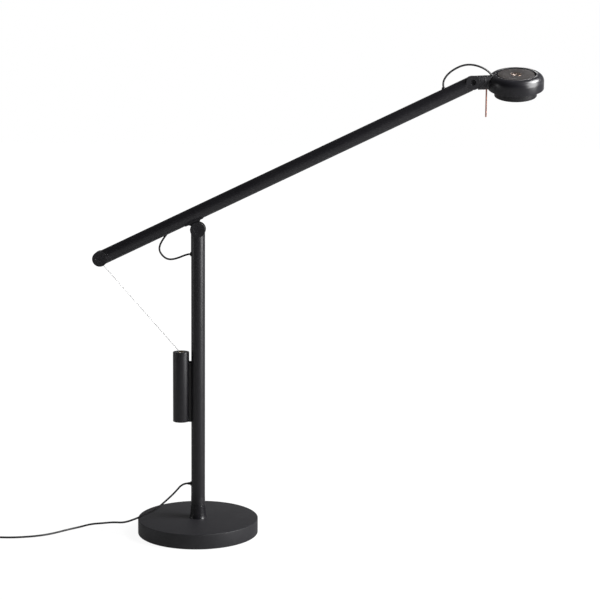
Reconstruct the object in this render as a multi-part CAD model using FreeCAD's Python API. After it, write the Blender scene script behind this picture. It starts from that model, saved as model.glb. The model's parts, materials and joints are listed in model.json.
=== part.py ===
import FreeCAD, Part
import math
import os

from FreeCAD import Placement, Rotation, Vector

# Counterweight balance desk lamp, in millimetres and degrees.
# Origin: centre of the base's underside. +X runs towards the head, +Y to the back, +Z up.

# ---------------------------------------------------------------- clearances
FIT = 0.05             # radial clearance of a running fit, and of a friction face
SLIP = 0.1             # clearance of a plug or bush pushed into a tube
GAP = 0.3              # gap between pieces that pass each other
DRILL = 0.2            # radial clearance of a plain through hole

# ---------------------------------------------------------------- tubes and knuckles
TUBE_R = 11.0
TUBE_WALL = 1.5
BARREL_R = 11.7        # round knuckles at the post's top and the arm's tail
BARREL_HALF = 11.0     # half the width of every knuckle
FORK_HALF = 5.2        # half the width of a fork's slot
WASHER_T = 0.5
PLUG_LENGTH = 18.0     # how far a fitting reaches into its tube

BOLT_HEAD_R = 5.75
BOLT_HEAD_T = 1.6
BOLT_HEX = 3.0
BOLT_HEX_DEPTH = 1.2
BOLT_SUNK = 0.15       # how far a bolt head lies below the knuckle's face

# ---------------------------------------------------------------- base
BASE_R = 95.0
BASE_H = 24.0
BASE_WALL = 2.0
BASE_EDGE = 0.8
COVER_LIFT = 0.8       # the cover's rim stays this far off the table
PAD_T = 2.5
PAD_INSET = 1.0
NUT_ROOM_R = 14.0
NUT_ROOM_H = 9.5
NUT_AF = 22.0
NUT_T = 7.0
NUT_WASHER_R = 13.0
NUT_WASHER_T = 1.0
SPIGOT_R = 8.0
SPIGOT_TOP = 69.1
SPIGOT_BOTTOM = 3.2
FOOT_R = 13.9
FOOT_NECK_R = 11.5
FOOT_H = 20.6
THRUST_T = 0.5
CAP_WASHER_T = 1.5
CAP_SCREW_R = 2.5
CAP_SCREW_L = 14.0
CAP_SCREW_HEAD_R = 4.2
CAP_SCREW_HEAD_T = 3.0

# ---------------------------------------------------------------- post
PIVOT_Z = 483.5        # height of the arm's pivot
POST_SEAM_DROP = 14.7  # from the pivot down to the cap's seam
SLEEVE_R = 11.1
SLEEVE_H = 12.9
SLOT_HALF = 3.6
LOWER_EXIT_Z = 79.0    # where the lead leaves the post's foot
UPPER_EXIT_DROP = 38.5 # from the pivot down to where the lead leaves for the arm
GROMMET_PROUD = 1.0
GROMMET_FLANGE_R = 4.6
GROMMET_FLANGE_T = 1.0
RELIEF_L = 4.0
RELIEF_R = 2.4
RELIEF_TIP_R = 1.9
PIVOT_SHANK_R = 3.0
PIVOT_TONGUE_R = 9.6
PIVOT_BUSH_R = 4.6
GRUB_R = 1.5
GRUB_L = 4.0

# ---------------------------------------------------------------- arm, in its own line
ARM_ANGLE = 25.75      # the arm's slope at rest
ARM_RISE = 23.8        # from the pivot up to the arm's centre line
TAIL_REACH = 156.5     # from the pivot back to the tail's pin, along the arm
HEAD_REACH = 476.5     # from the pivot out to the head's hinge, along the arm
TAIL_SEAM = 14.0
HEAD_SEAM = 11.5
NECK_HALF = 7.0        # half the width of the bracket's neck
SADDLE_HALF_L = 15.0
SADDLE_HALF_W = 7.5
BRACKET_FILLET = 5.0
BRACKET_SCREW_X = 4.0
BRACKET_SCREW_R = 1.5
BRACKET_SCREW_L = 8.0
BRACKET_SCREW_HEAD_R = 2.6
BRACKET_SCREW_HEAD_T = 1.7
TAIL_SLOT_HALF = 2.8
TAIL_SLOT_IN = 5.0
TAIL_PIN_R = 2.0
ARM_LEAD_IN = -49.4    # where the lead's centre meets the arm's underside, along the arm
ARM_IN_SLOPE = 29.0    # the lead's slope to the arm there
ARM_IN_FREE = 3.6      # how far outside the arm its free stretch starts
ARM_IN_HOLE_R = 1.8
ARM_LEAD_BACK = 43.3   # from the head's hinge back to the lead's hole in the arm's top, along the arm
ARM_OUT_LEAN = 15.0    # the grommet's lean there, towards the head
ARM_GROMMET_R = 2.55
ARM_GROMMET_FLANGE_R = 3.8
ARM_GROMMET_H = 2.2
LEAD_R = 1.5
LEAD_BEND = 8.0

# ---------------------------------------------------------------- counterweight and wire
WEIGHT_X = -26.6
WEIGHT_R = 12.75
WEIGHT_BOTTOM = 180.0
WEIGHT_H = 111.0
WEIGHT_EDGE = 0.6
RUNNER_BOTTOM = 179.6
RUNNER_H = 97.0
RUNNER_HALF = 3.3
RUNNER_SEAT_X = -15.0
SHOE_HALF = 5.4
SHOE_OUTER_X = -7.3
SHOE_INNER_X = -4.2
RUNNER_SCREW_INSET = 22.0
RUNNER_SCREW_R = 1.5
RUNNER_SCREW_L = 13.0
RUNNER_SCREW_HEAD_R = 2.6
RUNNER_SCREW_HEAD_T = 1.8
WIRE_R = 0.45
WIRE_BALL_R = 2.0
WIRE_HINGE_DROP = 2.5  # the wire's ball lies this far below the weight's top
SOCKET_R = 4.2
SOCKET_H = 9.0
SOCKET_CONE = 50.0     # half angle of the socket's mouth
SOCKET_CONE_DROP = 0.8 # how far its tip lies below the ball's centre
FERRULE_R = 1.3
FERRULE_L = 6.0
FERRULE_PAST = 1.0     # how far the ferrule reaches past the tail pin
WIRE_PIN_GAP = 0.45    # from the ferrule's side to the tail pin

# ---------------------------------------------------------------- head hinge and neck
HINGE_R = 10.9
HINGE_TONGUE_R = 9.0
HINGE_SHANK_R = 2.5
HINGE_BUSH_R = 3.8
HINGE_HEAD_R = 4.2
HINGE_HEAD_SUNK = 2.4
NECK_R = 10.8
NECK_CLEAR = 0.4       # gap between the fork's round ends and the neck
NECK_WEB_HALF = 8.5
NECK_LIP_X = 8.4       # the neck's lower edge starts here, so that the head can nod down
NECK_END = 16.5
SWIVEL_R = 10.95
SWIVEL_T = 2.8
AXLE_R = 4.0
AXLE_IN = 6.1
AXLE_GROOVE_R = 3.1
AXLE_GROOVE_W = 3.4

# ---------------------------------------------------------------- head
HEAD_PITCH = 2.6        # the neck's slope at rest, its outer end up
HEAD_ROLL = 18.2       # the head's roll about the neck, its top towards -Y
HEAD_X = 66.2          # from the hinge to the head's centre
HEAD_R = 42.65
HEAD_TOP = 11.75
HEAD_BOTTOM = -10.75
HEAD_WALL = 1.2
SHOULDER_R = 11.1
STUB_SCREW_Y = 6.0
STUB_SCREW_Z = -3.0
STUB_SCREW_L = 5.0
DIAL_WELL_R = 30.3
DIAL_WELL_FLOOR = 7.55
DIAL_R = 28.2
DIAL_TOP = 11.3
DIAL_EDGE = 0.6
DIAL_SKIN = 1.5        # the dial's top is this thick between its hub and its rim
DIAL_RIM = 2.0
DIAL_HUB_R = 4.9
DIAL_HUB_BOTTOM = 0.95
BUTTON_WELL_R = 8.6
BUTTON_WELL_FLOOR = 8.6
BUTTON_R = 8.3
BUTTON_TOP = 11.5
BUTTON_TRAVEL = 1.0
BUTTON_DISH = 0.9
BUTTON_STEM_R = 1.5
CONTROL_R = 8.0
CONTROL_BOTTOM = -3.55
CONTROL_FLOOR = -1.55
SWITCH_R = 3.2
SWITCH_H = 2.1
LENS_R = 32.4
LENS_WALL = 2.0
LENS_BOTTOM = -22.5
LENS_LIP = 1.5
LENS_LIP_T = 0.6
DIFFUSER_T = 1.2
BOARD_R = 21.8
BOARD_T = 1.2
CHIP = 3.4
CHIP_T = 0.7
CHIP_RINGS = ((8.0, 6), (16.5, 12))
SINK_R = 25.0
SINK_PLATE_T = 2.0
SINK_TOP = -0.55
FIN_T = 1.2
FIN_PITCH = 5.0
PLATE_SCREW_RING = 35.5
PLATE_SCREW_ANGLES = (90, 210, 330)
PLATE_SCREW_R = 1.3
PLATE_SCREW_HEAD_R = 2.6
PLATE_SCREW_L = 9.0
BOSS_R = 3.0
REFLECTOR_T = 0.6
DRIVER_X = (30.7, 40.2)
DRIVER_HALF_W = 9.0
DRIVER_TOP = -1.5
HEAD_ENTRY_AT = 62.0    # where on the shoulder's quarter round the lead goes in
HEAD_ENTRY_SLOPE = 55.0 # the lead's slope there
HEAD_ENTRY_TURN = 5.5   # how far inside the shoulder it turns down
HEAD_GROMMET_R = 2.05
HEAD_GROMMET_FLANGE_R = 3.0
HEAD_GROMMET_PROUD = 1.6
ROD_R = 1.2
ROD_X = 21.5
ROD_LENGTH = 48.1
ROD_SEAT = 3.0

# ---------------------------------------------------------------- lead on the floor
FLOOR_Z = 1.6          # height of the lead's centre where it lies
COIL_CENTRE = (-356.0, -61.2)
COIL_MEAN_R = 18.0
COIL_PITCH = 3.55
COIL_LAYERS = 4
COIL_QUARTERS = 11     # quarter turns in each layer
PLUG_X = -337.0
PLUG_Y = (-7.0, 35.0)
PLUG_HALF_W = 12.5
PLUG_H = 26.0
PLUG_ROUND = 4.0
PLUG_RELIEF_L = 20.0
PLUG_RELIEF_R = 3.4
PIN_R = 2.0
PIN_L = 19.0
PIN_SPREAD = 19.0

# ---------------------------------------------------------------- worked out from the above
TUBE_BORE = TUBE_R - TUBE_WALL
TONGUE_HALF = FORK_HALF - WASHER_T - FIT
PLUG_FIT_R = TUBE_BORE - SLIP
FOOT_TOP = BASE_H + FOOT_H
POST_BOTTOM = FOOT_TOP + FIT + THRUST_T
POST_SEAM = PIVOT_Z - POST_SEAM_DROP
SLEEVE_TOP = POST_BOTTOM + SLEEVE_H
WEIGHT_TOP = WEIGHT_BOTTOM + WEIGHT_H
WIRE_HINGE = Vector(WEIGHT_X, 0, WEIGHT_TOP - WIRE_HINGE_DROP)
EXIT_FACE = TUBE_R + GROMMET_PROUD
COIL_TURN_R = COIL_MEAN_R + COIL_PITCH * COIL_QUARTERS / 8.0
ARM_LEAD_OUT = HEAD_REACH - ARM_LEAD_BACK
UPPER_EXIT_Z = PIVOT_Z - UPPER_EXIT_DROP

X_AXIS = Vector(1, 0, 0)
Y_AXIS = Vector(0, 1, 0)
Z_AXIS = Vector(0, 0, 1)

PIVOT = Vector(0, 0, PIVOT_Z)
ARM_FRAME = Placement(PIVOT, Rotation(Vector(0, -1, 0), ARM_ANGLE))
TAIL = ARM_FRAME.multVec(Vector(-TAIL_REACH, 0, ARM_RISE))
HINGE = ARM_FRAME.multVec(Vector(HEAD_REACH, 0, ARM_RISE))
NECK_FRAME = Placement(HINGE, Rotation(Vector(0, -1, 0), HEAD_PITCH))
HEAD_FRAME = NECK_FRAME.multiply(Placement(Vector(), Rotation(X_AXIS, HEAD_ROLL)))


# ---------------------------------------------------------------- small helpers
def rod(radius, start, end):
    """Solid cylinder from one point to another."""
    start, end = Vector(*start), Vector(*end)
    return Part.makeCylinder(radius, start.distanceToPoint(end), start, end - start)


def pipe(outer, inner, start, end):
    return rod(outer, start, end).cut(rod(inner, start, end))


def block(low, high):
    size = [b - a for a, b in zip(low, high)]
    return Part.makeBox(*size, Vector(*low))


def cone(r1, r2, start, end):
    start, end = Vector(*start), Vector(*end)
    return Part.makeCone(r1, r2, start.distanceToPoint(end), start, end - start)


def turned(profile, centre=(0, 0)):
    """Solid of revolution about a vertical axis, from (radius, z) points."""
    points = [Vector(centre[0] + r, centre[1], z) for r, z in profile]
    face = Part.Face(Part.makePolygon(points + points[:1]))
    return face.revolve(Vector(centre[0], centre[1], 0), Z_AXIS, 360)


def fuse(shapes):
    first, *rest = shapes
    return first.multiFuse(rest).removeSplitter() if rest else first


def hexagon(across_flats, start, end):
    start, end = Vector(*start), Vector(*end)
    corner = across_flats / math.sqrt(3)
    points = [Vector(corner * math.cos(math.radians(60 * i)), corner * math.sin(math.radians(60 * i)), 0)
              for i in range(7)]
    prism = Part.Face(Part.makePolygon(points)).extrude(Vector(0, 0, start.distanceToPoint(end)))
    prism.Placement = Placement(start, Rotation(Z_AXIS, end - start))
    return prism


def barrel(radius, half):
    """Knuckle: a short cylinder on the Y axis, about the origin."""
    return rod(radius, (0, -half, 0), (0, half, 0))


def bolt_seats(shank_r, head_r=BOLT_HEAD_R, sunk=BOLT_SUNK):
    """Holes that a knuckle bolt, its head and its nut need, about the origin."""
    seat = BARREL_HALF - sunk - BOLT_HEAD_T
    return fuse([
        rod(shank_r + FIT, (0, -BARREL_HALF, 0), (0, BARREL_HALF, 0)),
        rod(head_r + SLIP, (0, -BARREL_HALF, 0), (0, -seat, 0)),
        rod(head_r + SLIP, (0, seat, 0), (0, BARREL_HALF, 0)),
    ])


def knuckle_bolt(shank_r, head_r=BOLT_HEAD_R, sunk=BOLT_SUNK):
    """Bolt with a hex socket in its round head, on the side that faces -Y, and a round nut at the back."""
    face = BARREL_HALF - sunk
    seat = face - BOLT_HEAD_T
    bolt = fuse([rod(head_r, (0, -face, 0), (0, -seat, 0)), rod(shank_r, (0, -seat, 0), (0, face, 0))])
    bolt = bolt.cut(hexagon(BOLT_HEX, (0, -face, 0), (0, -face + BOLT_HEX_DEPTH, 0)))
    return Part.makeCompound([bolt, pipe(head_r, shank_r, (0, seat, 0), (0, face, 0))])


def flanged_bushes(outer, flange_r, shank_r):
    """Two flanged bushes that meet inside a tongue; their flanges rub on the fork."""
    inner = shank_r + FIT
    return Part.makeCompound([
        fuse([pipe(outer, inner, (0, 0, 0), (0, side * TONGUE_HALF, 0)),
              pipe(flange_r, inner, (0, side * TONGUE_HALF, 0), (0, side * (TONGUE_HALF + WASHER_T), 0))])
        for side in (-1, 1)])


def placed(shape, frame):
    moved = shape.copy()
    moved.Placement = frame.multiply(shape.Placement)
    return moved


# ---------------------------------------------------------------- tubes that follow a route
def arc_edge(start, corner, end):
    """Arc from start to end, tangent at both to the lines that meet at the corner."""
    chord = end - start
    middle = (start + end) * 0.5
    bulge = corner - middle
    half_turn = math.atan2(2 * bulge.Length, chord.Length)
    height = 0.5 * chord.Length * math.tan(half_turn / 2)
    top = middle + bulge * (height / bulge.Length)
    return Part.Arc(start, top, end).toShape()


def route_edges(points):
    """Straight runs joined by tangent arcs, each as large as its runs allow; gives the edges and radii."""
    points = [Vector(*p) for p in points]
    edges, radii = [], []
    here = points[0]
    for before, corner, after in zip(points, points[1:], points[2:]):
        back, ahead = (before - corner), (after - corner)
        shorter = min(back.Length, ahead.Length)
        half_turn = (math.pi - back.getAngle(ahead)) / 2
        reach = 0.45 * shorter
        radii.append(reach / math.tan(half_turn))
        arc_start = corner + back.normalize() * reach
        arc_end = corner + ahead.normalize() * reach
        edges.append(Part.LineSegment(here, arc_start).toShape())
        edges.append(arc_edge(arc_start, corner, arc_end))
        here = arc_end
    edges.append(Part.LineSegment(here, points[-1]).toShape())
    return edges, radii


def swept(edges, radius):
    """Round tube along joined edges."""
    first = edges[0]
    start = first.valueAt(first.FirstParameter)
    along = first.tangentAt(first.FirstParameter)
    circle = Part.Wire([Part.makeCircle(radius, start, along)])
    return Part.Wire(edges).makePipeShell([circle], True, False)


def lead_along(name, points):
    """Lead along a route, with its tightest bend and its volume printed."""
    edges, radii = route_edges(points)
    shape = swept(edges, LEAD_R)
    length = sum(e.Length for e in edges)
    share = shape.Volume / (math.pi * LEAD_R ** 2 * length)
    print(f"{name}: length {length:.1f}, least bend radius {min(radii):.1f}, volume ratio {share:.4f}")
    return shape


# ---------------------------------------------------------------- base
def base_cover():
    inner = BASE_R - BASE_WALL
    return turned([
        (SPIGOT_R + DRILL, BASE_H), (BASE_R - BASE_EDGE, BASE_H), (BASE_R, BASE_H - BASE_EDGE),
        (BASE_R, COVER_LIFT), (inner, COVER_LIFT), (inner, BASE_H - BASE_WALL),
        (SPIGOT_R + DRILL, BASE_H - BASE_WALL)])


def base_ballast():
    disc = rod(BASE_R - BASE_WALL - GAP, (0, 0, PAD_T), (0, 0, BASE_H - BASE_WALL))
    room = rod(NUT_ROOM_R, (0, 0, PAD_T), (0, 0, PAD_T + NUT_ROOM_H))
    hole = rod(SPIGOT_R + DRILL, (0, 0, PAD_T), (0, 0, BASE_H))
    return disc.cut(room).cut(hole)


def base_pad():
    return rod(BASE_R - BASE_WALL - PAD_INSET, (0, 0, 0), (0, 0, PAD_T))


def spigot():
    bar = rod(SPIGOT_R, (0, 0, SPIGOT_BOTTOM), (0, 0, SPIGOT_TOP))
    return bar.cut(rod(CAP_SCREW_R, (0, 0, SPIGOT_TOP - CAP_SCREW_L), (0, 0, SPIGOT_TOP)))


def base_nut():
    """Hexagon nut with a round flange, in the ballast's recess."""
    top = PAD_T + NUT_ROOM_H
    under = top - NUT_WASHER_T
    flange = rod(NUT_WASHER_R, (0, 0, under), (0, 0, top))
    nut = fuse([flange, hexagon(NUT_AF, (0, 0, under - NUT_T), (0, 0, under))])
    return nut.cut(rod(SPIGOT_R, (0, 0, under - NUT_T), (0, 0, top)))


def foot_collar():
    """Collar with a hollow flare, from its wide foot up to the post's width."""
    bore = SPIGOT_R + DRILL
    foot, waist, top = (Vector(FOOT_R, 0, BASE_H), Vector((FOOT_R + FOOT_NECK_R) / 2 - 0.5, 0,
                        BASE_H + 0.4 * FOOT_H), Vector(FOOT_NECK_R, 0, FOOT_TOP))
    flare = Part.Arc(foot, waist, top).toShape()
    rest = Part.makePolygon([top, Vector(bore, 0, FOOT_TOP), Vector(bore, 0, BASE_H), foot])
    return Part.Face(Part.Wire([flare] + rest.Edges)).revolve(Vector(0, 0, 0), Z_AXIS, 360)


def spigot_screw():
    """Screw with a wide washer face, which holds the post down on the spigot."""
    top = SPIGOT_TOP + CAP_WASHER_T
    shank = rod(CAP_SCREW_R, (0, 0, SPIGOT_TOP - CAP_SCREW_L), (0, 0, top))
    washer = rod(PLUG_FIT_R - SLIP, (0, 0, SPIGOT_TOP), (0, 0, top))
    head = rod(CAP_SCREW_HEAD_R, (0, 0, top), (0, 0, top + CAP_SCREW_HEAD_T))
    return fuse([shank, washer, head])


# ---------------------------------------------------------------- post
def post_tube():
    """Tube with the round-ended slot that guides the weight and lets the lead out."""
    tube = pipe(TUBE_R, TUBE_BORE, (0, 0, SLEEVE_TOP), (0, 0, POST_SEAM))
    through = -TUBE_R - 1
    slot = fuse([
        block((through, -SLOT_HALF, LOWER_EXIT_Z), (0, SLOT_HALF, UPPER_EXIT_Z)),
        rod(SLOT_HALF, (through, 0, LOWER_EXIT_Z), (0, 0, LOWER_EXIT_Z)),
        rod(SLOT_HALF, (through, 0, UPPER_EXIT_Z), (0, 0, UPPER_EXIT_Z)),
    ])
    return tube.cut(slot).cut(cap_screw_hole())


def post_bush():
    """Flanged bush that turns on the spigot and rests on the foot collar."""
    inner = SPIGOT_R + FIT
    return fuse([pipe(PLUG_FIT_R, inner, (0, 0, POST_BOTTOM), (0, 0, SPIGOT_TOP - SLIP)),
                 pipe(TUBE_R, inner, (0, 0, POST_BOTTOM - THRUST_T), (0, 0, POST_BOTTOM))])


def post_sleeve():
    """Ring on the bush, between the foot collar and the tube's lower end."""
    edge = 0.3
    ring = turned([
        (TUBE_BORE, POST_BOTTOM), (SLEEVE_R - edge, POST_BOTTOM), (SLEEVE_R, POST_BOTTOM + edge),
        (SLEEVE_R, SLEEVE_TOP - edge), (SLEEVE_R - edge, SLEEVE_TOP), (TUBE_BORE, SLEEVE_TOP)])
    middle = (POST_BOTTOM + SLEEVE_TOP) / 2
    return ring.cut(rod(GRUB_R, (0, 0, middle), (0, SLEEVE_R + 1, middle)))


def cap_screw_hole():
    z = POST_SEAM - PLUG_LENGTH / 2
    return rod(GRUB_R, (0, TUBE_R - GRUB_L, z), (0, TUBE_R + 1, z))


def post_screws():
    """Grub screws at the back of the sleeve and of the cap's plug."""
    middle = (POST_BOTTOM + SLEEVE_TOP) / 2
    z = POST_SEAM - PLUG_LENGTH / 2
    return Part.makeCompound([rod(GRUB_R, (0, TUBE_BORE, middle), (0, SLEEVE_R - FIT, middle)),
                              rod(GRUB_R, (0, TUBE_R - GRUB_L, z), (0, TUBE_R - FIT, z))])


def post_cap():
    """Plug, collar and round fork that carry the arm's pivot bolt."""
    body = fuse([
        rod(PLUG_FIT_R, (0, 0, POST_SEAM - PLUG_LENGTH), (0, 0, POST_SEAM)),
        rod(TUBE_R, (0, 0, POST_SEAM), (0, 0, PIVOT_Z)),
        barrel(BARREL_R, BARREL_HALF).translated(PIVOT),
    ])
    reach = BARREL_R + 1
    slot = fuse([
        barrel(PIVOT_TONGUE_R + NECK_CLEAR, FORK_HALF),
        block((-reach, -FORK_HALF, -2.0), (reach, FORK_HALF, reach)),
    ]).translated(PIVOT)
    return body.cut(slot).cut(bolt_seats(PIVOT_SHANK_R).translated(PIVOT)).cut(cap_screw_hole())


def slot_grommet(z):
    """Rubber plug that fills one end of the post's slot round the lead."""
    inner = -TUBE_BORE + 1.3
    plug = fuse([
        rod(SLOT_HALF - SLIP, (-EXIT_FACE, 0, z), (inner, 0, z)),
        rod(GROMMET_FLANGE_R, (inner, 0, z), (inner + GROMMET_FLANGE_T, 0, z)),
    ])
    return plug.cut(rod(LEAD_R, (-EXIT_FACE, 0, z), (0, 0, z)))


def post_grommets():
    """The two plugs; the lower one ends in a short tapered sleeve round the lead."""
    start, end = (-EXIT_FACE, 0, LOWER_EXIT_Z), (-EXIT_FACE - RELIEF_L, 0, LOWER_EXIT_Z)
    relief = cone(RELIEF_R, RELIEF_TIP_R, start, end).cut(rod(LEAD_R, start, end))
    return Part.makeCompound([fuse([slot_grommet(LOWER_EXIT_Z), relief]), slot_grommet(UPPER_EXIT_Z)])


def post_lead():
    """Lead inside the post, from the foot's relief to the upper grommet."""
    bend = 5.0
    side = 7.0
    return lead_along("post_lead", [
        (-EXIT_FACE - RELIEF_L, 0, LOWER_EXIT_Z), (side - 2 * bend, 0, LOWER_EXIT_Z),
        (side - bend / 2, 0, LOWER_EXIT_Z + bend / 2), (side, 0, LOWER_EXIT_Z + 2 * bend),
        (side, 0, UPPER_EXIT_Z - 2 * bend), (side - bend / 2, 0, UPPER_EXIT_Z - bend / 2),
        (side - 2 * bend, 0, UPPER_EXIT_Z), (-EXIT_FACE, 0, UPPER_EXIT_Z)])


# ---------------------------------------------------------------- counterweight
def runner():
    """Guide bar screwed to the weight; its wide shoe runs inside the post."""
    top = RUNNER_BOTTOM + RUNNER_H
    bar = block((RUNNER_SEAT_X, -RUNNER_HALF, RUNNER_BOTTOM), (SHOE_INNER_X, RUNNER_HALF, top - RUNNER_HALF))
    crown = rod(RUNNER_HALF, (RUNNER_SEAT_X, 0, top - RUNNER_HALF), (SHOE_INNER_X, 0, top - RUNNER_HALF))
    shoe = block((SHOE_OUTER_X, -SHOE_HALF, RUNNER_BOTTOM), (SHOE_INNER_X, SHOE_HALF, top - 2 * RUNNER_HALF))
    body = fuse([bar, crown, shoe])
    for z in runner_screw_heights():
        body = body.cut(runner_screw(z))
        head_end = SHOE_INNER_X - RUNNER_SCREW_HEAD_T
        body = body.cut(rod(RUNNER_SCREW_HEAD_R, (head_end, 0, z), (SHOE_INNER_X, 0, z)))
    return body


def runner_screw_heights():
    return (RUNNER_BOTTOM + RUNNER_SCREW_INSET, RUNNER_BOTTOM + RUNNER_H - RUNNER_SCREW_INSET)


def runner_screw(z):
    under = SHOE_INNER_X - FIT - RUNNER_SCREW_HEAD_T
    shank = rod(RUNNER_SCREW_R, (under - RUNNER_SCREW_L, 0, z), (under, 0, z))
    return fuse([shank, rod(RUNNER_SCREW_HEAD_R, (under, 0, z), (under + RUNNER_SCREW_HEAD_T, 0, z))])


def runner_screws():
    return Part.makeCompound([runner_screw(z) for z in runner_screw_heights()])


def counterweight():
    """Steel cylinder, flat where the runner is seated, with a pocket for the wire's socket."""
    axis = (WEIGHT_X, 0)
    body = turned([
        (0, WEIGHT_BOTTOM), (WEIGHT_R - WEIGHT_EDGE, WEIGHT_BOTTOM), (WEIGHT_R, WEIGHT_BOTTOM + WEIGHT_EDGE),
        (WEIGHT_R, WEIGHT_TOP - WEIGHT_EDGE), (WEIGHT_R - WEIGHT_EDGE, WEIGHT_TOP), (0, WEIGHT_TOP)], axis)
    seat_top = RUNNER_BOTTOM + RUNNER_H - RUNNER_HALF
    room = RUNNER_HALF + FIT
    body = body.cut(block((RUNNER_SEAT_X, -room, WEIGHT_BOTTOM - 1), (0, room, seat_top)))
    body = body.cut(rod(room, (RUNNER_SEAT_X, 0, seat_top), (0, 0, seat_top)))
    body = body.cut(rod(SOCKET_R, (*axis, WEIGHT_TOP - SOCKET_H), (*axis, WEIGHT_TOP)))
    for z in runner_screw_heights():
        body = body.cut(runner_screw(z))
    return body


def wire_socket():
    """Brass insert in the weight's top, with a round pocket and a wide mouth for the wire."""
    axis = (WEIGHT_X, 0)
    plug = rod(SOCKET_R, (*axis, WEIGHT_TOP - SOCKET_H), (*axis, WEIGHT_TOP))
    mouth_r = (WIRE_HINGE_DROP + SOCKET_CONE_DROP) * math.tan(math.radians(SOCKET_CONE))
    mouth = cone(0, mouth_r, WIRE_HINGE - Z_AXIS * SOCKET_CONE_DROP, (*axis, WEIGHT_TOP))
    return plug.cut(Part.makeSphere(WIRE_BALL_R + FIT, WIRE_HINGE)).cut(mouth)


# ---------------------------------------------------------------- wire
def wire_ends():
    """The wire's line: from its ball in the weight to the point where it passes the tail's pin."""
    to_tail = TAIL - WIRE_HINGE
    offset = TAIL_PIN_R + FERRULE_R + WIRE_PIN_GAP
    length = math.sqrt(to_tail.Length ** 2 - offset ** 2)
    swing = Rotation(Vector(0, -1, 0), math.degrees(math.atan2(offset, length)))
    along = swing.multVec(Vector(to_tail).normalize())
    return along, length


def wire():
    """Wire with a ball at its foot and a ferrule at its head."""
    along, length = wire_ends()
    end = WIRE_HINGE + along * (length + FERRULE_PAST)
    return fuse([Part.makeSphere(WIRE_BALL_R, WIRE_HINGE), rod(WIRE_R, WIRE_HINGE, end),
                 rod(FERRULE_R, end - along * FERRULE_L, end)])


# ---------------------------------------------------------------- arm, drawn along X and then tilted
def arm_tube():
    start, end = TAIL_SEAM - TAIL_REACH, HEAD_REACH - HEAD_SEAM
    tube = pipe(TUBE_R, TUBE_BORE, (start, 0, ARM_RISE), (end, 0, ARM_RISE))
    under = ARM_RISE - TUBE_R
    for x in (-BRACKET_SCREW_X, BRACKET_SCREW_X):
        tube = tube.cut(rod(BRACKET_SCREW_R, (x, 0, under - 1), (x, 0, ARM_RISE)))
    tube = tube.cut(rod(ARM_IN_HOLE_R, arm_in_point(-TUBE_R), arm_in_point(TUBE_R)))
    return tube.cut(rod(ARM_GROMMET_R, arm_out_point(-TUBE_R), arm_out_point(TUBE_R)))


def arm_in_point(distance):
    """Point on the lead's slanting way into the arm, this far past the arm's underside."""
    slope = math.radians(ARM_IN_SLOPE)
    return (ARM_LEAD_IN + distance * math.cos(slope), 0, ARM_RISE - TUBE_R + distance * math.sin(slope))


def arm_out_point(distance):
    """Point on the lead's way out through the arm's top, this far past its surface."""
    lean = math.radians(ARM_OUT_LEAN)
    return (ARM_LEAD_OUT + distance * math.sin(lean), 0, ARM_RISE + TUBE_R + distance * math.cos(lean))


def arm_bracket():
    """Tongue in the post's fork, hollow-sided neck and a saddle under the arm."""
    saddle_low = BARREL_R + 0.5
    flare_x = NECK_HALF + BRACKET_FILLET
    neck = block((-flare_x, -TONGUE_HALF, 0), (flare_x, TONGUE_HALF, ARM_RISE - TUBE_R + 1))
    turn_z = saddle_low - BRACKET_FILLET
    for x in (-flare_x, flare_x):
        low, high = sorted((x, math.copysign(NECK_HALF, x)))
        neck = neck.cut(block((low, -FORK_HALF, 0), (high, FORK_HALF, turn_z)))
        neck = neck.cut(rod(BRACKET_FILLET, (x, -FORK_HALF, turn_z), (x, FORK_HALF, turn_z)))
    saddle = block((-SADDLE_HALF_L, -SADDLE_HALF_W, saddle_low), (SADDLE_HALF_L, SADDLE_HALF_W, ARM_RISE))
    body = fuse([barrel(PIVOT_TONGUE_R, TONGUE_HALF), neck, saddle])
    body = body.cut(rod(TUBE_R, (-2 * SADDLE_HALF_L, 0, ARM_RISE), (2 * SADDLE_HALF_L, 0, ARM_RISE)))
    body = body.cut(barrel(PIVOT_BUSH_R, FORK_HALF))
    for x in (-BRACKET_SCREW_X, BRACKET_SCREW_X):
        body = body.cut(bracket_screw(x))
    return body


def bracket_screw(x):
    """Screw from inside the arm, down into the bracket's neck."""
    seat = ARM_RISE - TUBE_BORE + 0.4
    shank = rod(BRACKET_SCREW_R, (x, 0, seat - BRACKET_SCREW_L), (x, 0, seat))
    return fuse([shank, rod(BRACKET_SCREW_HEAD_R, (x, 0, seat), (x, 0, seat + BRACKET_SCREW_HEAD_T))])


def bracket_screws():
    return Part.makeCompound([bracket_screw(-BRACKET_SCREW_X), bracket_screw(BRACKET_SCREW_X)])


def pivot_bushes():
    return flanged_bushes(PIVOT_BUSH_R, PIVOT_TONGUE_R - 1, PIVOT_SHANK_R)


def tail_fitting():
    """Plug, collar and round end, slotted for the wire."""
    centre = Vector(-TAIL_REACH, 0, ARM_RISE)
    reach = BARREL_R + 1
    body = fuse([
        rod(PLUG_FIT_R, (TAIL_SEAM, 0, 0), (TAIL_SEAM + PLUG_LENGTH, 0, 0)),
        rod(TUBE_R, (0, 0, 0), (TAIL_SEAM, 0, 0)),
        barrel(BARREL_R, BARREL_HALF),
    ])
    slot = block((-reach, -TAIL_SLOT_HALF, -reach), (TAIL_SLOT_IN, TAIL_SLOT_HALF, reach))
    return body.cut(slot).cut(bolt_seats(TAIL_PIN_R)).translated(centre)


def tail_bolt():
    return knuckle_bolt(TAIL_PIN_R).translated(Vector(-TAIL_REACH, 0, ARM_RISE))


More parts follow.
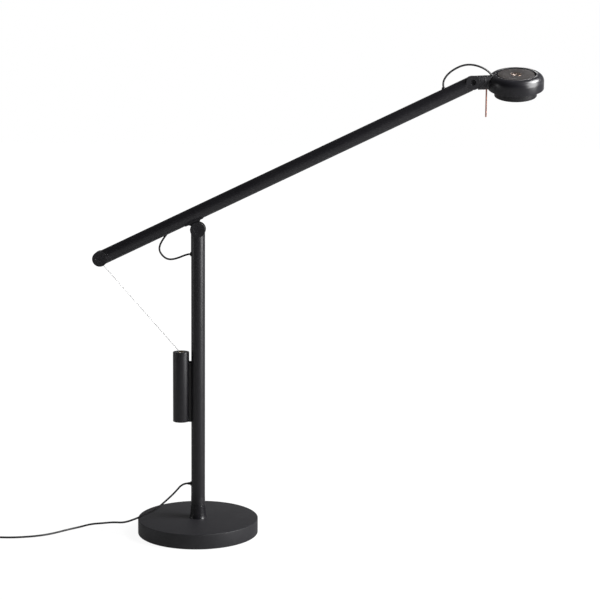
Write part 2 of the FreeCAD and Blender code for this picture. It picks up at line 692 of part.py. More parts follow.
def front_fork():
    """Plug, collar and fork for the head's hinge."""
    centre = Vector(HEAD_REACH, 0, ARM_RISE)
    reach = 2 * HINGE_R
    body = fuse([
        rod(PLUG_FIT_R, (-HEAD_SEAM - PLUG_LENGTH, 0, 0), (-HEAD_SEAM, 0, 0)),
        rod(TUBE_R, (-HEAD_SEAM, 0, 0), (0, 0, 0)),
        barrel(HINGE_R, BARREL_HALF),
    ])
    slot = fuse([
        barrel(HINGE_TONGUE_R + NECK_CLEAR, FORK_HALF),
        block((-HINGE_TONGUE_R / 2, -FORK_HALF, -reach), (reach, FORK_HALF, reach)),
    ])
    seats = bolt_seats(HINGE_SHANK_R, HINGE_HEAD_R, HINGE_HEAD_SUNK)
    return body.cut(slot).cut(seats).translated(centre)


def arm_grommet():
    """Tapered rubber grommet on the arm's top, shaped to the tube."""
    low, tip = arm_out_point(-ARM_GROMMET_H), arm_out_point(ARM_GROMMET_H)
    inner = arm_out_point(-TUBE_WALL - 1.2)
    flange = cone(ARM_GROMMET_FLANGE_R, ARM_GROMMET_R, low, tip)
    flange = flange.cut(rod(TUBE_R, (0, 0, ARM_RISE), (HEAD_REACH, 0, ARM_RISE)))
    return fuse([flange, rod(ARM_GROMMET_R, inner, tip)]).cut(rod(LEAD_R, inner, tip))


def arm_lead():
    """Lead inside the arm, from just outside the arm's underside to the grommet's tip."""
    rise = (TUBE_R - 1) / math.sin(math.radians(ARM_IN_SLOPE))
    inside = arm_in_point(rise)
    below = arm_out_point(-TUBE_R + LEAD_BEND / 2)
    return lead_along("arm_lead", [
        arm_in_point(-ARM_IN_FREE), inside, (inside[0] + 24, 0, ARM_RISE),
        (below[0] - 36, 0, ARM_RISE - 3), (below[0] - LEAD_BEND, 0, ARM_RISE - 2), below,
        arm_out_point(ARM_GROMMET_H)])


# ---------------------------------------------------------------- neck, drawn about the head's hinge
def neck():
    """Tongue in the arm's fork and the short round neck that the head rolls on."""
    round_part = rod(NECK_R, (0, 0, 0), (NECK_END, 0, 0))
    clear = barrel(HINGE_R + NECK_CLEAR, 2 * NECK_R)
    lip = block((-NECK_R, -2 * NECK_R, -2 * NECK_R), (NECK_LIP_X, 2 * NECK_R, -NECK_R + 2.8))
    web = block((0, -TONGUE_HALF, -NECK_WEB_HALF), (NECK_END, TONGUE_HALF, NECK_WEB_HALF)).common(round_part)
    round_part = round_part.cut(clear).cut(lip)
    body = fuse([round_part, web, barrel(HINGE_TONGUE_R, TONGUE_HALF)])
    body = body.cut(barrel(HINGE_BUSH_R, FORK_HALF))
    body = body.cut(rod(AXLE_R + FIT, (NECK_END - AXLE_IN - GAP, 0, 0), (NECK_END, 0, 0)))
    return body.cut(neck_screw())


def neck_screw():
    """Grub screw whose tip stands in the axle's groove."""
    x = axle_groove_middle()
    return rod(GRUB_R, (x, 0, -AXLE_GROOVE_R - SLIP), (x, 0, -NECK_R + 0.4))


def axle_groove_middle():
    return NECK_END - AXLE_IN + 1.4 + AXLE_GROOVE_W / 2


def hinge_bushes():
    return flanged_bushes(HINGE_BUSH_R, HINGE_TONGUE_R - 1, HINGE_SHANK_R)


def swivel_ring():
    edge = 0.4
    start, end = NECK_END, NECK_END + SWIVEL_T
    ring = fuse([
        cone(SWIVEL_R - edge, SWIVEL_R, (start, 0, 0), (start + edge, 0, 0)),
        rod(SWIVEL_R, (start + edge, 0, 0), (end - edge, 0, 0)),
        cone(SWIVEL_R, SWIVEL_R - edge, (end - edge, 0, 0), (end, 0, 0)),
    ])
    return ring.cut(rod(AXLE_R + FIT, (start, 0, 0), (end, 0, 0)))


# ---------------------------------------------------------------- head, drawn level about the hinge
STUB_START = NECK_END + SWIVEL_T + SLIP
CENTRE = (HEAD_X, 0)
FLOOR_UNDER = DIAL_WELL_FLOOR - HEAD_WALL
PLATE_TOP = HEAD_BOTTOM + HEAD_WALL
SHOULDER_CENTRE = (HEAD_X - (HEAD_R - SHOULDER_R), HEAD_TOP - SHOULDER_R)
LEAD_WAY_OUT = Rotation(Y_AXIS, HEAD_ENTRY_SLOPE).multVec(-X_AXIS)
LEAD_ENTRY = (Vector(SHOULDER_CENTRE[0], 0, SHOULDER_CENTRE[1])
              + Rotation(Y_AXIS, HEAD_ENTRY_AT).multVec(-X_AXIS) * SHOULDER_R)


def entry_point(distance):
    """Point on the lead's way in, this far outside the shoulder."""
    return LEAD_ENTRY + LEAD_WAY_OUT * distance


def roll_axle():
    axle = rod(AXLE_R, (NECK_END - AXLE_IN, 0, 0), (STUB_START + 1, 0, 0))
    middle = axle_groove_middle()
    half = AXLE_GROOVE_W / 2
    return axle.cut(pipe(AXLE_R + 1, AXLE_GROOVE_R, (middle - half, 0, 0), (middle + half, 0, 0)))


def head_stub():
    """Round stub between the swivel and the housing's side, turned in one with its axle."""
    body = rod(NECK_R, (STUB_START, 0, 0), (HEAD_X, 0, 0)).cut(housing_form())
    body = body.cut(rod(HEAD_GROMMET_FLANGE_R + GAP, entry_point(-SHOULDER_R), entry_point(SHOULDER_R)))
    body = fuse([body, roll_axle()]).cut(handle_rod())
    for y in (-STUB_SCREW_Y, STUB_SCREW_Y):
        body = body.cut(stub_screw(y))
    return body


def stub_screw(y):
    """Screw from inside the housing into the stub."""
    wall = HEAD_X - math.sqrt((HEAD_R - HEAD_WALL) ** 2 - (abs(y) + BRACKET_SCREW_HEAD_R) ** 2)
    seat, z = wall + FIT, STUB_SCREW_Z
    shank = rod(BRACKET_SCREW_R, (seat - STUB_SCREW_L, y, z), (seat, y, z))
    return fuse([shank, rod(BRACKET_SCREW_HEAD_R, (seat, y, z), (seat + BRACKET_SCREW_HEAD_T, y, z))])


def shoulder_arc(radius, flat_r, turn_z):
    """Quarter round from the housing's side up to its top, as an edge."""
    x = HEAD_X + flat_r
    corner = math.sqrt(0.5) * radius
    return Part.Arc(Vector(x + radius, 0, turn_z), Vector(x + corner, 0, turn_z + corner),
                    Vector(x, 0, turn_z + radius)).toShape()


def housing_form(inset=0.0):
    """Solid of the housing's outside, or of one this much smaller, carried on below its rim."""
    flat_r = HEAD_R - SHOULDER_R
    turn_z, low = HEAD_TOP - SHOULDER_R, 2 * HEAD_BOTTOM
    axis, side = HEAD_X, HEAD_X + HEAD_R - inset
    rest = Part.makePolygon([
        Vector(HEAD_X + flat_r, 0, HEAD_TOP - inset), Vector(axis, 0, HEAD_TOP - inset), Vector(axis, 0, low),
        Vector(side, 0, low), Vector(side, 0, turn_z)])
    outline = Part.Wire(Part.__sortEdges__([shoulder_arc(SHOULDER_R - inset, flat_r, turn_z)] + rest.Edges))
    return Part.Face(outline).revolve(Vector(*CENTRE, 0), Z_AXIS, 360)


def head_housing():
    """Round shell with a rounded shoulder, a well for the dial and three screw bosses."""
    flat_r = HEAD_R - SHOULDER_R
    turn_z = HEAD_TOP - SHOULDER_R
    inner_r = HEAD_R - HEAD_WALL
    inner_round = SHOULDER_R - HEAD_WALL
    well = [(flat_r, HEAD_TOP), (DIAL_WELL_R, HEAD_TOP), (DIAL_WELL_R, DIAL_WELL_FLOOR),
            (DIAL_HUB_R + GAP, DIAL_WELL_FLOOR), (DIAL_HUB_R + GAP, FLOOR_UNDER),
            (DIAL_WELL_R + HEAD_WALL, FLOOR_UNDER), (DIAL_WELL_R + HEAD_WALL, HEAD_TOP - HEAD_WALL),
            (flat_r, HEAD_TOP - HEAD_WALL)]
    side = [(inner_r, turn_z), (inner_r, HEAD_BOTTOM), (HEAD_R, HEAD_BOTTOM), (HEAD_R, turn_z)]
    edges = [shoulder_arc(SHOULDER_R, flat_r, turn_z)]
    edges += Part.makePolygon([Vector(HEAD_X + r, 0, z) for r, z in well]).Edges
    edges += [shoulder_arc(inner_round, flat_r, turn_z)]
    edges += Part.makePolygon([Vector(HEAD_X + r, 0, z) for r, z in side]).Edges
    outline = Part.Wire(Part.__sortEdges__(edges))
    shell = Part.Face(outline).revolve(Vector(*CENTRE, 0), Z_AXIS, 360)
    middle = housing_form(HEAD_WALL / 2)
    bosses = [rod(BOSS_R, (x, y, PLATE_TOP), (x, y, HEAD_TOP)).common(middle) for x, y in plate_screw_places()]
    shell = fuse([shell] + bosses)
    shell = shell.cut(rod(HEAD_GROMMET_R, entry_point(-HEAD_ENTRY_TURN), entry_point(2)))
    for y in (-STUB_SCREW_Y, STUB_SCREW_Y):
        shell = shell.cut(stub_screw(y))
    for place in plate_screw_places():
        shell = shell.cut(plate_screw(*place))
    return shell


def plate_screw_places():
    return [(HEAD_X + PLATE_SCREW_RING * math.cos(math.radians(a)),
             PLATE_SCREW_RING * math.sin(math.radians(a))) for a in PLATE_SCREW_ANGLES]


def plate_screw(x, y):
    """Countersunk screw, flush with the plate's underside."""
    low = HEAD_BOTTOM + FIT
    sink = PLATE_SCREW_HEAD_R - PLATE_SCREW_R
    return fuse([
        cone(PLATE_SCREW_HEAD_R, PLATE_SCREW_R, (x, y, low), (x, y, low + sink)),
        rod(PLATE_SCREW_R, (x, y, low + sink), (x, y, low + PLATE_SCREW_L)),
    ])


def head_screws():
    """The two screws of the stub and the three of the bottom plate."""
    return Part.makeCompound([stub_screw(-STUB_SCREW_Y), stub_screw(STUB_SCREW_Y)]
                             + [plate_screw(x, y) for x, y in plate_screw_places()])


def bottom_plate():
    plate = pipe(HEAD_R - HEAD_WALL, BOARD_R + SLIP, (*CENTRE, HEAD_BOTTOM), (*CENTRE, PLATE_TOP))
    for place in plate_screw_places():
        plate = plate.cut(plate_screw(*place))
        plate = plate.cut(rod(PLATE_SCREW_HEAD_R, (*place, HEAD_BOTTOM), (*place, HEAD_BOTTOM + FIT)))
    return plate


def head_grommet():
    """Small tapered grommet on the shoulder, where the lead goes in."""
    outer = entry_point(HEAD_GROMMET_PROUD)
    flange = cone(HEAD_GROMMET_FLANGE_R, HEAD_GROMMET_R, entry_point(-2 * HEAD_WALL), outer)
    stem = rod(HEAD_GROMMET_R, entry_point(-HEAD_WALL), outer)
    body = fuse([flange.cut(housing_form()), stem])
    return body.cut(rod(LEAD_R, entry_point(-SHOULDER_R), outer))


def head_lead():
    """Lead inside the head, from the grommet's face to the driver."""
    start = entry_point(HEAD_GROMMET_PROUD)
    corner = entry_point(-HEAD_ENTRY_TURN)
    return lead_along("head_lead", [tuple(start), tuple(corner), (corner.x, 0, DRIVER_TOP)])


def led_driver():
    return block((DRIVER_X[0], -DRIVER_HALF_W, PLATE_TOP), (DRIVER_X[1], DRIVER_HALF_W, DRIVER_TOP))


def dimmer_dial():
    """Top disc that turns, with a hub below and a round well for the button."""
    low = DIAL_WELL_FLOOR + GAP
    bore = BUTTON_STEM_R + GAP
    hollow = (BUTTON_WELL_R + DIAL_RIM, DIAL_R - DIAL_RIM)
    return turned([
        (bore, DIAL_HUB_BOTTOM), (DIAL_HUB_R, DIAL_HUB_BOTTOM), (DIAL_HUB_R, low), (hollow[0], low),
        (hollow[0], DIAL_TOP - DIAL_SKIN), (hollow[1], DIAL_TOP - DIAL_SKIN), (hollow[1], low), (DIAL_R, low),
        (DIAL_R, DIAL_TOP - DIAL_EDGE), (DIAL_R - DIAL_EDGE, DIAL_TOP), (BUTTON_WELL_R, DIAL_TOP),
        (BUTTON_WELL_R, BUTTON_WELL_FLOOR), (bore, BUTTON_WELL_FLOOR)], CENTRE)


def dimmer_button():
    """Dished round button on a thin stem."""
    low = BUTTON_WELL_FLOOR + BUTTON_TRAVEL + SLIP
    stem_low = CONTROL_FLOOR + SWITCH_H + BUTTON_TRAVEL + SLIP
    disc = rod(BUTTON_R, (*CENTRE, low), (*CENTRE, BUTTON_TOP))
    dish_r = (BUTTON_R ** 2 + BUTTON_DISH ** 2) / (2 * BUTTON_DISH)
    disc = disc.cut(Part.makeSphere(dish_r, Vector(*CENTRE, BUTTON_TOP - BUTTON_DISH + dish_r + 0.1)))
    return fuse([disc, rod(BUTTON_STEM_R, (*CENTRE, stem_low), (*CENTRE, low))])


def dimmer_control():
    """Turning control under the well's floor, hollow for the dial's hub, with a push switch inside."""
    body = rod(CONTROL_R, (*CENTRE, CONTROL_BOTTOM), (*CENTRE, FLOOR_UNDER))
    body = body.cut(rod(DIAL_HUB_R + GAP, (*CENTRE, CONTROL_FLOOR), (*CENTRE, FLOOR_UNDER)))
    return fuse([body, rod(SWITCH_R, (*CENTRE, CONTROL_BOTTOM), (*CENTRE, CONTROL_FLOOR + SWITCH_H))])


def lens_ring():
    """Lower ring with an inner lip that holds the diffuser."""
    inner = LENS_R - LENS_WALL
    return turned([
        (inner, HEAD_BOTTOM), (LENS_R, HEAD_BOTTOM), (LENS_R, LENS_BOTTOM + DIAL_EDGE),
        (LENS_R - DIAL_EDGE, LENS_BOTTOM), (inner - LENS_LIP, LENS_BOTTOM),
        (inner - LENS_LIP, LENS_BOTTOM + LENS_LIP_T), (inner, LENS_BOTTOM + LENS_LIP_T)], CENTRE)


def diffuser():
    low = LENS_BOTTOM + LENS_LIP_T
    return rod(LENS_R - LENS_WALL - SLIP, (*CENTRE, low), (*CENTRE, low + DIFFUSER_T))


def reflector():
    """Thin cone from the board's edge down to the diffuser."""
    low = LENS_BOTTOM + LENS_LIP_T + DIFFUSER_T
    wide = LENS_R - LENS_WALL - SLIP
    return turned([
        (BOARD_R, HEAD_BOTTOM), (BOARD_R + REFLECTOR_T, HEAD_BOTTOM), (wide, low),
        (wide - REFLECTOR_T, low)], CENTRE)


def led_board():
    return rod(BOARD_R, (*CENTRE, PLATE_TOP - BOARD_T), (*CENTRE, PLATE_TOP))


def led_chips():
    top = PLATE_TOP - BOARD_T
    half = CHIP / 2
    chips = []
    for ring_r, count in CHIP_RINGS:
        for i in range(count):
            chip = block((ring_r - half, -half, top - CHIP_T), (ring_r + half, half, top))
            chip.rotate(Vector(0, 0, 0), Z_AXIS, 360 * i / count)
            chips.append(chip.translated(Vector(*CENTRE, 0)))
    return Part.makeCompound(chips)


def heat_sink():
    """Plate with straight fins, open in the middle for the control."""
    plate = rod(SINK_R, (*CENTRE, PLATE_TOP), (*CENTRE, PLATE_TOP + SINK_PLATE_T))
    rim = pipe(SINK_R, CONTROL_R + 1.5, (*CENTRE, PLATE_TOP + SINK_PLATE_T), (*CENTRE, SINK_TOP))
    count = int(SINK_R / FIN_PITCH)
    fins = [block((HEAD_X - SINK_R, i * FIN_PITCH - FIN_T / 2, PLATE_TOP),
                  (HEAD_X + SINK_R, i * FIN_PITCH + FIN_T / 2, SINK_TOP)) for i in range(1 - count, count)]
    return fuse([plate] + [fin.common(rim) for fin in fins])


def handle_rod():
    """Thin bent-free rod that hangs from the stub, round at its tip."""
    top = -NECK_R + ROD_SEAT
    tip = top - ROD_LENGTH + ROD_R
    return fuse([rod(ROD_R, (ROD_X, 0, top), (ROD_X, 0, tip)), Part.makeSphere(ROD_R, Vector(ROD_X, 0, tip))])


# ---------------------------------------------------------------- free leads
def from_arm(x, z):
    return tuple(ARM_FRAME.multVec(Vector(x, 0, z)))


def on_head_line(distance):
    """Point on the line by which the lead enters the head, this far from the grommet's tip."""
    return tuple(HEAD_FRAME.multVec(entry_point(HEAD_GROMMET_PROUD + distance)))


def middle_of(start, end):
    return tuple((Vector(*start) + Vector(*end)) * 0.5)


def from_point(origin, x, y, z):
    """Point given from another one, such as a pivot."""
    return tuple(origin + Vector(x, y, z))


UPPER_LOOP = [
    (-EXIT_FACE, 0, UPPER_EXIT_Z), (-EXIT_FACE - 4.5, 0, UPPER_EXIT_Z), from_point(PIVOT, -34.0, -0.4, -46.0),
    from_point(PIVOT, -46.0, -0.7, -47.4), from_point(PIVOT, -54.6, -0.7, -42.2),
    from_point(PIVOT, -60.7, -0.4, -32.6), from_arm(*arm_in_point(-ARM_IN_FREE - 10.5)[::2]),
    from_arm(*arm_in_point(-ARM_IN_FREE)[::2])]

# From the arm's grommet to the head's; the two halves meet in the middle of the run at the top.
HEAD_LOOP = [
    from_arm(*arm_out_point(ARM_GROMMET_H)[::2]), from_arm(*arm_out_point(ARM_GROMMET_H + 6.6)[::2]),
    from_point(HINGE, -40.8, -0.2, 9.8), from_point(HINGE, -30.8, -0.5, 19.2),
    from_point(HINGE, -14.1, -1.2, 27.4), from_point(HINGE, 3.3, -3.7, 27.4),
    on_head_line(9.0), on_head_line(0)]
HEAD_LOOP_TOP = middle_of(HEAD_LOOP[4], HEAD_LOOP[5])

# From the post's foot down over the base's rim and along the table to the coil.
SUPPLY_LEAD = [
    (-EXIT_FACE - RELIEF_L, 0, LOWER_EXIT_Z), (-24.5, 0, LOWER_EXIT_Z), (-36.5, -5.0, 68.6),
    (-50.5, -10.8, 55.2), (-66.0, -16.0, 43.2), (-81.0, -19.4, 33.4), (-97.0, -20.6, 28.4),
    (-116.0, -14.5, 21.6), (-134.0, -3.5, 14.6), (-153.0, 8.0, 8.8), (-172.0, 14.6, 4.6),
    (-190.0, 12.4, 2.2), (-207.5, -0.6, FLOOR_Z), (-226.0, -20.4, FLOOR_Z), (-245.0, -33.8, FLOOR_Z),
    (-268.0, -41.8, FLOOR_Z), (-293.0, -45.8, FLOOR_Z), (-317.0, -43.6, FLOOR_Z)]
SUPPLY_SPLIT = 8       # the stretch up to the middle of this run moves with the post


def coil_point(quarter):
    """Place and heading on the coil, this many quarter turns from its start."""
    per_layer = COIL_QUARTERS + 2
    last = COIL_LAYERS - 1
    layer = min(int(quarter // per_layer), last)
    into = quarter - layer * per_layer
    inward = 1 if layer % 2 == 0 else -1
    step = COIL_PITCH / 4
    wide, tight = COIL_TURN_R, COIL_TURN_R - step * COIL_QUARTERS
    begin = wide if inward == 1 else tight
    if into <= COIL_QUARTERS or layer == last:
        radius = begin - inward * step * into
        slope = -inward * step
        lift, climb = 0.0, 0.0
    else:
        t = (into - COIL_QUARTERS) / 2
        radius = begin - inward * step * (COIL_QUARTERS + 2 * (t - t * t))
        slope = -inward * step * (1 - 2 * t)
        lift = COIL_PITCH * t * t * (3 - 2 * t)
        climb = COIL_PITCH * 3 * t * (1 - t)
    angle = math.pi / 2 * (1 + quarter)
    out = Vector(math.cos(angle), math.sin(angle), 0)
    round_way = Vector(-out.y, out.x, 0)
    place = Vector(*COIL_CENTRE, FLOOR_Z + layer * COIL_PITCH + lift) + out * radius
    heading = out * slope + round_way * (radius * math.pi / 2) + Z_AXIS * climb
    return place, heading.normalize()


def biarc(start, start_way, end, end_way):
    """Two arcs that leave one point and reach another along given headings."""
    span = end - start
    both = start_way + end_way
    turn = 2 * (1 - start_way.dot(end_way))
    along = span.dot(both)
    reach = (-along + math.sqrt(along ** 2 + turn * span.dot(span))) / turn
    first, second = start + start_way * reach, end - end_way * reach
    middle = (first + second) * 0.5
    return [arc_edge(start, first, middle), arc_edge(middle, second, end)]


def coil_quarters():
    """Quarter turns in the whole coil; the last layer has one more, so that it ends facing +Y."""
    return COIL_LAYERS * COIL_QUARTERS + 2 * (COIL_LAYERS - 1) + 1


def coil_edges():
    start, way = coil_point(0)
    lead_in = start - way * (2 * LEAD_R)
    edges = [Part.LineSegment(lead_in, start).toShape()]
    for quarter in range(1, coil_quarters() + 1):
        end, end_way = coil_point(quarter)
        edges += biarc(start, way, end, end_way)
        start, way = end, end_way
    edges.append(Part.LineSegment(start, start + way * (2 * LEAD_R)).toShape())
    return edges


def least_coil_gap(edges):
    """Smallest gap between any two turns, measured on points along the coil."""
    step = 1.0
    points, run = [], 0.0
    for edge in edges:
        count = max(int(edge.Length / step), 1)
        for i in range(count):
            points.append((run + edge.Length * i / count, edge.valueAt(
                edge.FirstParameter + (edge.LastParameter - edge.FirstParameter) * i / count)))
        run += edge.Length
    apart = 3 * math.pi * LEAD_R * 2
    return min((a - b).Length for i, (s, a) in enumerate(points) for t, b in points[i:]
               if t - s > apart) - 2 * LEAD_R


def lead_coil():
    edges = coil_edges()
    shape = swept(edges, LEAD_R)
    length = sum(e.Length for e in edges)
    share = shape.Volume / (math.pi * LEAD_R ** 2 * length)
    print(f"lead_coil: length {length:.1f}, least gap {least_coil_gap(edges):.2f}, volume ratio {share:.4f}")
    return shape


def split_point():
    return middle_of(SUPPLY_LEAD[SUPPLY_SPLIT - 1], SUPPLY_LEAD[SUPPLY_SPLIT])


def lead_drop():
    """From the post down to a point past the base's rim."""
    return lead_along("lead_drop", SUPPLY_LEAD[:SUPPLY_SPLIT] + [split_point()])


def lead_floor():
    """Along the table to the coil."""
    start, way = coil_point(0)
    end = start - way * (2 * LEAD_R)
    return lead_along("lead_floor", [split_point()] + SUPPLY_LEAD[SUPPLY_SPLIT:]
                      + [tuple(end - way * 17), tuple(end)])


def arm_loop():
    return lead_along("arm_loop", UPPER_LOOP)


def head_loop_rear():
    return lead_along("head_loop_rear", HEAD_LOOP[:5] + [HEAD_LOOP_TOP])


def head_loop_front():
    return lead_along("head_loop_front", [HEAD_LOOP_TOP] + HEAD_LOOP[5:])


def lead_tail():
    """Last stretch, from the coil's top layer to the plug's relief."""
    end, way = coil_point(coil_quarters())
    start = end + way * (2 * LEAD_R)
    finish = Vector(PLUG_X, PLUG_Y[0] - PLUG_RELIEF_L, PLUG_H / 2)
    second, last = start + way * 9, finish - Y_AXIS * 9
    return lead_along("lead_tail", [tuple(start), tuple(second), tuple(last), tuple(finish)])


def plug_body():
    """Small plug-in supply that lies on its side, with the lead's tapered relief."""
    body = block((PLUG_X - PLUG_HALF_W, PLUG_Y[0], 0), (PLUG_X + PLUG_HALF_W, PLUG_Y[1], PLUG_H))
    body = body.makeFillet(PLUG_ROUND, body.Edges)
    relief = cone(PLUG_RELIEF_R, RELIEF_TIP_R, (PLUG_X, PLUG_Y[0], PLUG_H / 2),
                  (PLUG_X, PLUG_Y[0] - PLUG_RELIEF_L, PLUG_H / 2))
    return fuse([body, relief])


def plug_pins():
    face = PLUG_X - PLUG_HALF_W
    middle = sum(PLUG_Y) / 2
    places = [middle - PIN_SPREAD / 2, middle + PIN_SPREAD / 2]
    z = PLUG_H / 2
    return Part.makeCompound([rod(PIN_R, (face, y, z), (face - PIN_L, y, z)) for y in places])


# ---------------------------------------------------------------- the whole lamp
def as_drawn(maker):
    return maker()


def on_arm(maker):
    return placed(maker(), ARM_FRAME)


def at_pivot(shape):
    return shape.translated(PIVOT)


def on_neck(maker):
    return placed(maker(), NECK_FRAME)


def on_head(maker):
    return placed(maker(), HEAD_FRAME)


def front_knuckle(shape):
    """Piece of the head's hinge that stays with the arm's fork."""
    return placed(shape.translated(Vector(HEAD_REACH, 0, ARM_RISE)), ARM_FRAME)


def all_nodes():
    """Every node of the lamp, by name."""
    nodes = {}
    for maker in (base_cover, base_ballast, base_pad, spigot, base_nut, foot_collar, spigot_screw, post_tube,
                  post_bush, post_sleeve, post_cap, post_screws, post_grommets, post_lead, counterweight,
                  runner, runner_screws, wire_socket, wire, arm_loop, head_loop_rear, head_loop_front,
                  lead_drop, lead_floor, lead_coil, lead_tail, plug_body, plug_pins):
        nodes[maker.__name__] = as_drawn(maker)
    nodes["pivot_bolt"] = at_pivot(knuckle_bolt(PIVOT_SHANK_R))
    for maker in (arm_tube, arm_bracket, bracket_screws, pivot_bushes, tail_fitting, tail_bolt, front_fork,
                  arm_grommet, arm_lead):
        nodes[maker.__name__] = on_arm(maker)
    nodes["hinge_bolt"] = front_knuckle(knuckle_bolt(HINGE_SHANK_R, HINGE_HEAD_R, HINGE_HEAD_SUNK))
    for maker in (neck, hinge_bushes, swivel_ring, neck_screw):
        nodes[maker.__name__] = on_neck(maker)
    for maker in (head_stub, head_screws, head_housing, bottom_plate, head_grommet, head_lead, led_driver,
                  dimmer_dial, dimmer_button, dimmer_control, lens_ring, diffuser, reflector, led_board,
                  led_chips, heat_sink, handle_rod):
        nodes[maker.__name__] = on_head(maker)
    return nodes


def main():
    os.makedirs("parts", exist_ok=True)
    for name, shape in all_nodes().items():
        shape.exportStep(f"parts/{name}.step")
    print(f"pivot {tuple(PIVOT)}, tail {tuple(TAIL)}, hinge {tuple(HINGE)}, wire {tuple(WIRE_HINGE)}")


main()
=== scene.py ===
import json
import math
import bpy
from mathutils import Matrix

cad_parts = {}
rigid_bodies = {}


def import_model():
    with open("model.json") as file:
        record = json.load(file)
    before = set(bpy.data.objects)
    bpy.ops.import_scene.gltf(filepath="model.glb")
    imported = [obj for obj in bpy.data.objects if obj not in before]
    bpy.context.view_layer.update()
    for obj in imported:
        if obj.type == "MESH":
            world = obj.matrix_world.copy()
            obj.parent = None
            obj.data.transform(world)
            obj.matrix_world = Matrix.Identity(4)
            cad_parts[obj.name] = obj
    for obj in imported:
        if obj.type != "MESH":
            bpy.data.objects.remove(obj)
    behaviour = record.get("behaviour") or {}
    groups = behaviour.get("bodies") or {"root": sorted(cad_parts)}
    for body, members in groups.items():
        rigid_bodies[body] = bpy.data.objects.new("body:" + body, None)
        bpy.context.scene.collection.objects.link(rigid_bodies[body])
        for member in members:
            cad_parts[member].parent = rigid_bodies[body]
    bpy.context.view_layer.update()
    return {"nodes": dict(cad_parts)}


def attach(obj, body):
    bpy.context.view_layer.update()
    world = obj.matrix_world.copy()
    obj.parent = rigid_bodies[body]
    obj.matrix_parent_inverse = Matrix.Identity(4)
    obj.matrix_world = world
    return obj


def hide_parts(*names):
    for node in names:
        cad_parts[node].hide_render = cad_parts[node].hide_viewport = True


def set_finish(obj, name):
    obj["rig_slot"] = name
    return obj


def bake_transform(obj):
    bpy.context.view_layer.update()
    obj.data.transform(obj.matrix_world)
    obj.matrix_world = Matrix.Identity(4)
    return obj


bl_info = {
    "name": "Balance desk lamp",
    "version": (1, 0, 0),
    "blender": (4, 5, 0),
    "location": "3D View > Sidebar > Desk lamp",
    "description": "Dresses a counterweight desk lamp: leads, turned pieces, finishes and studio",
    "category": "Object",
}

import bmesh
import bpy
from bpy.props import FloatProperty, FloatVectorProperty, IntProperty, PointerProperty
from mathutils import Matrix, Vector

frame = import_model()

# ------------------------ places taken over from the part, in metres
PIVOT = Vector((0, 0, 0.4835))
ARM_SLOPE = math.radians(25.75)
ARM_FRAME = Matrix.Translation(PIVOT) @ Matrix.Rotation(ARM_SLOPE, 4, (0, -1, 0))
HINGE = ARM_FRAME @ Vector((0.4765, 0, 0.0238))
NECK_FRAME = Matrix.Translation(HINGE) @ Matrix.Rotation(math.radians(2.6), 4, (0, -1, 0))
HEAD_FRAME = NECK_FRAME @ Matrix.Rotation(math.radians(18.2), 4, "X")
HEAD_CENTRE = HEAD_FRAME @ Matrix.Translation((0.0662, 0, 0))
WEIGHT_AXIS = Matrix.Translation((-0.0266, 0, 0))
ENTRY_SLOPE = math.radians(55)
ENTRY_AT = math.radians(62)
SHOULDER = 0.0111


def on_arm(x, z):
    return tuple(ARM_FRAME @ Vector((x, 0, z)))


def into_arm(distance):
    """Point on the lead's slanting way up into the arm, this far past the arm's underside."""
    slope = math.radians(29)
    return on_arm(-0.0494 + distance * math.cos(slope), 0.0128 + distance * math.sin(slope))


def out_of_arm(distance):
    """Point on the lead's way out through the arm's top, this far past its surface."""
    lean = math.radians(15)
    return on_arm(0.4332 + distance * math.sin(lean), 0.0348 + distance * math.cos(lean))


def into_head(distance):
    """Point on the line by which the lead enters the head, this far from its grommet's tip."""
    along = 0.0016 + distance
    return tuple(HEAD_FRAME @ Vector((
        0.03465 - SHOULDER * math.cos(ENTRY_AT) - along * math.cos(ENTRY_SLOPE), 0,
        0.00065 + SHOULDER * math.sin(ENTRY_AT) + along * math.sin(ENTRY_SLOPE))))


# ------------------------ routes of the leads
SUPPLY_ROUTE = [
    (-0.016, 0, 0.079), (-0.0245, 0, 0.079), (-0.0365, -0.005, 0.0652), (-0.0505, -0.0108, 0.0528),
    (-0.066, -0.016, 0.0403), (-0.081, -0.0194, 0.0339), (-0.097, -0.0206, 0.0263),
    (-0.116, -0.0145, 0.0179), (-0.134, -0.0035, 0.0154), (-0.153, 0.008, 0.0101),
    (-0.172, 0.0146, 0.0067), (-0.19, 0.0124, 0.0022), (-0.2075, -0.0006, 0.0016),
    (-0.226, -0.0204, 0.0016), (-0.245, -0.0338, 0.0016), (-0.268, -0.0418, 0.0016),
    (-0.293, -0.0458, 0.0016), (-0.317, -0.0436, 0.0016)]

ARM_LOOP_ROUTE = [
    (-0.012, 0, 0.445), (-0.0165, 0, 0.445), (-0.034, -0.0004, 0.4375), (-0.046, -0.0007, 0.4361),
    (-0.0546, -0.0007, 0.4413), (-0.0607, -0.0004, 0.4509), into_arm(-0.0141), into_arm(-0.0036)]

HEAD_LOOP_ROUTE = [
    out_of_arm(0.0022), out_of_arm(0.0088), (0.37804, -0.0002, 0.72175), (0.38804, -0.0005, 0.73115),
    (0.40474, -0.0012, 0.73935), (0.42214, -0.0037, 0.73935), into_head(0.009), into_head(0)]
HEAD_LOOP_TOP = (0.41344, -0.00245, 0.73935)

COIL_CENTRE = Vector((-0.356, -0.0612, 0.0016))
COIL_PITCH = 0.00355
COIL_LAYERS = 4
COIL_QUARTERS = 11
COIL_WIDE = 0.018 + COIL_PITCH * COIL_QUARTERS / 8
COIL_END = COIL_LAYERS * COIL_QUARTERS + 2 * (COIL_LAYERS - 1) + 1
POINTS_PER_TURN = 12
PLUG_RELIEF_TIP = Vector((-0.337, -0.027, 0.013))


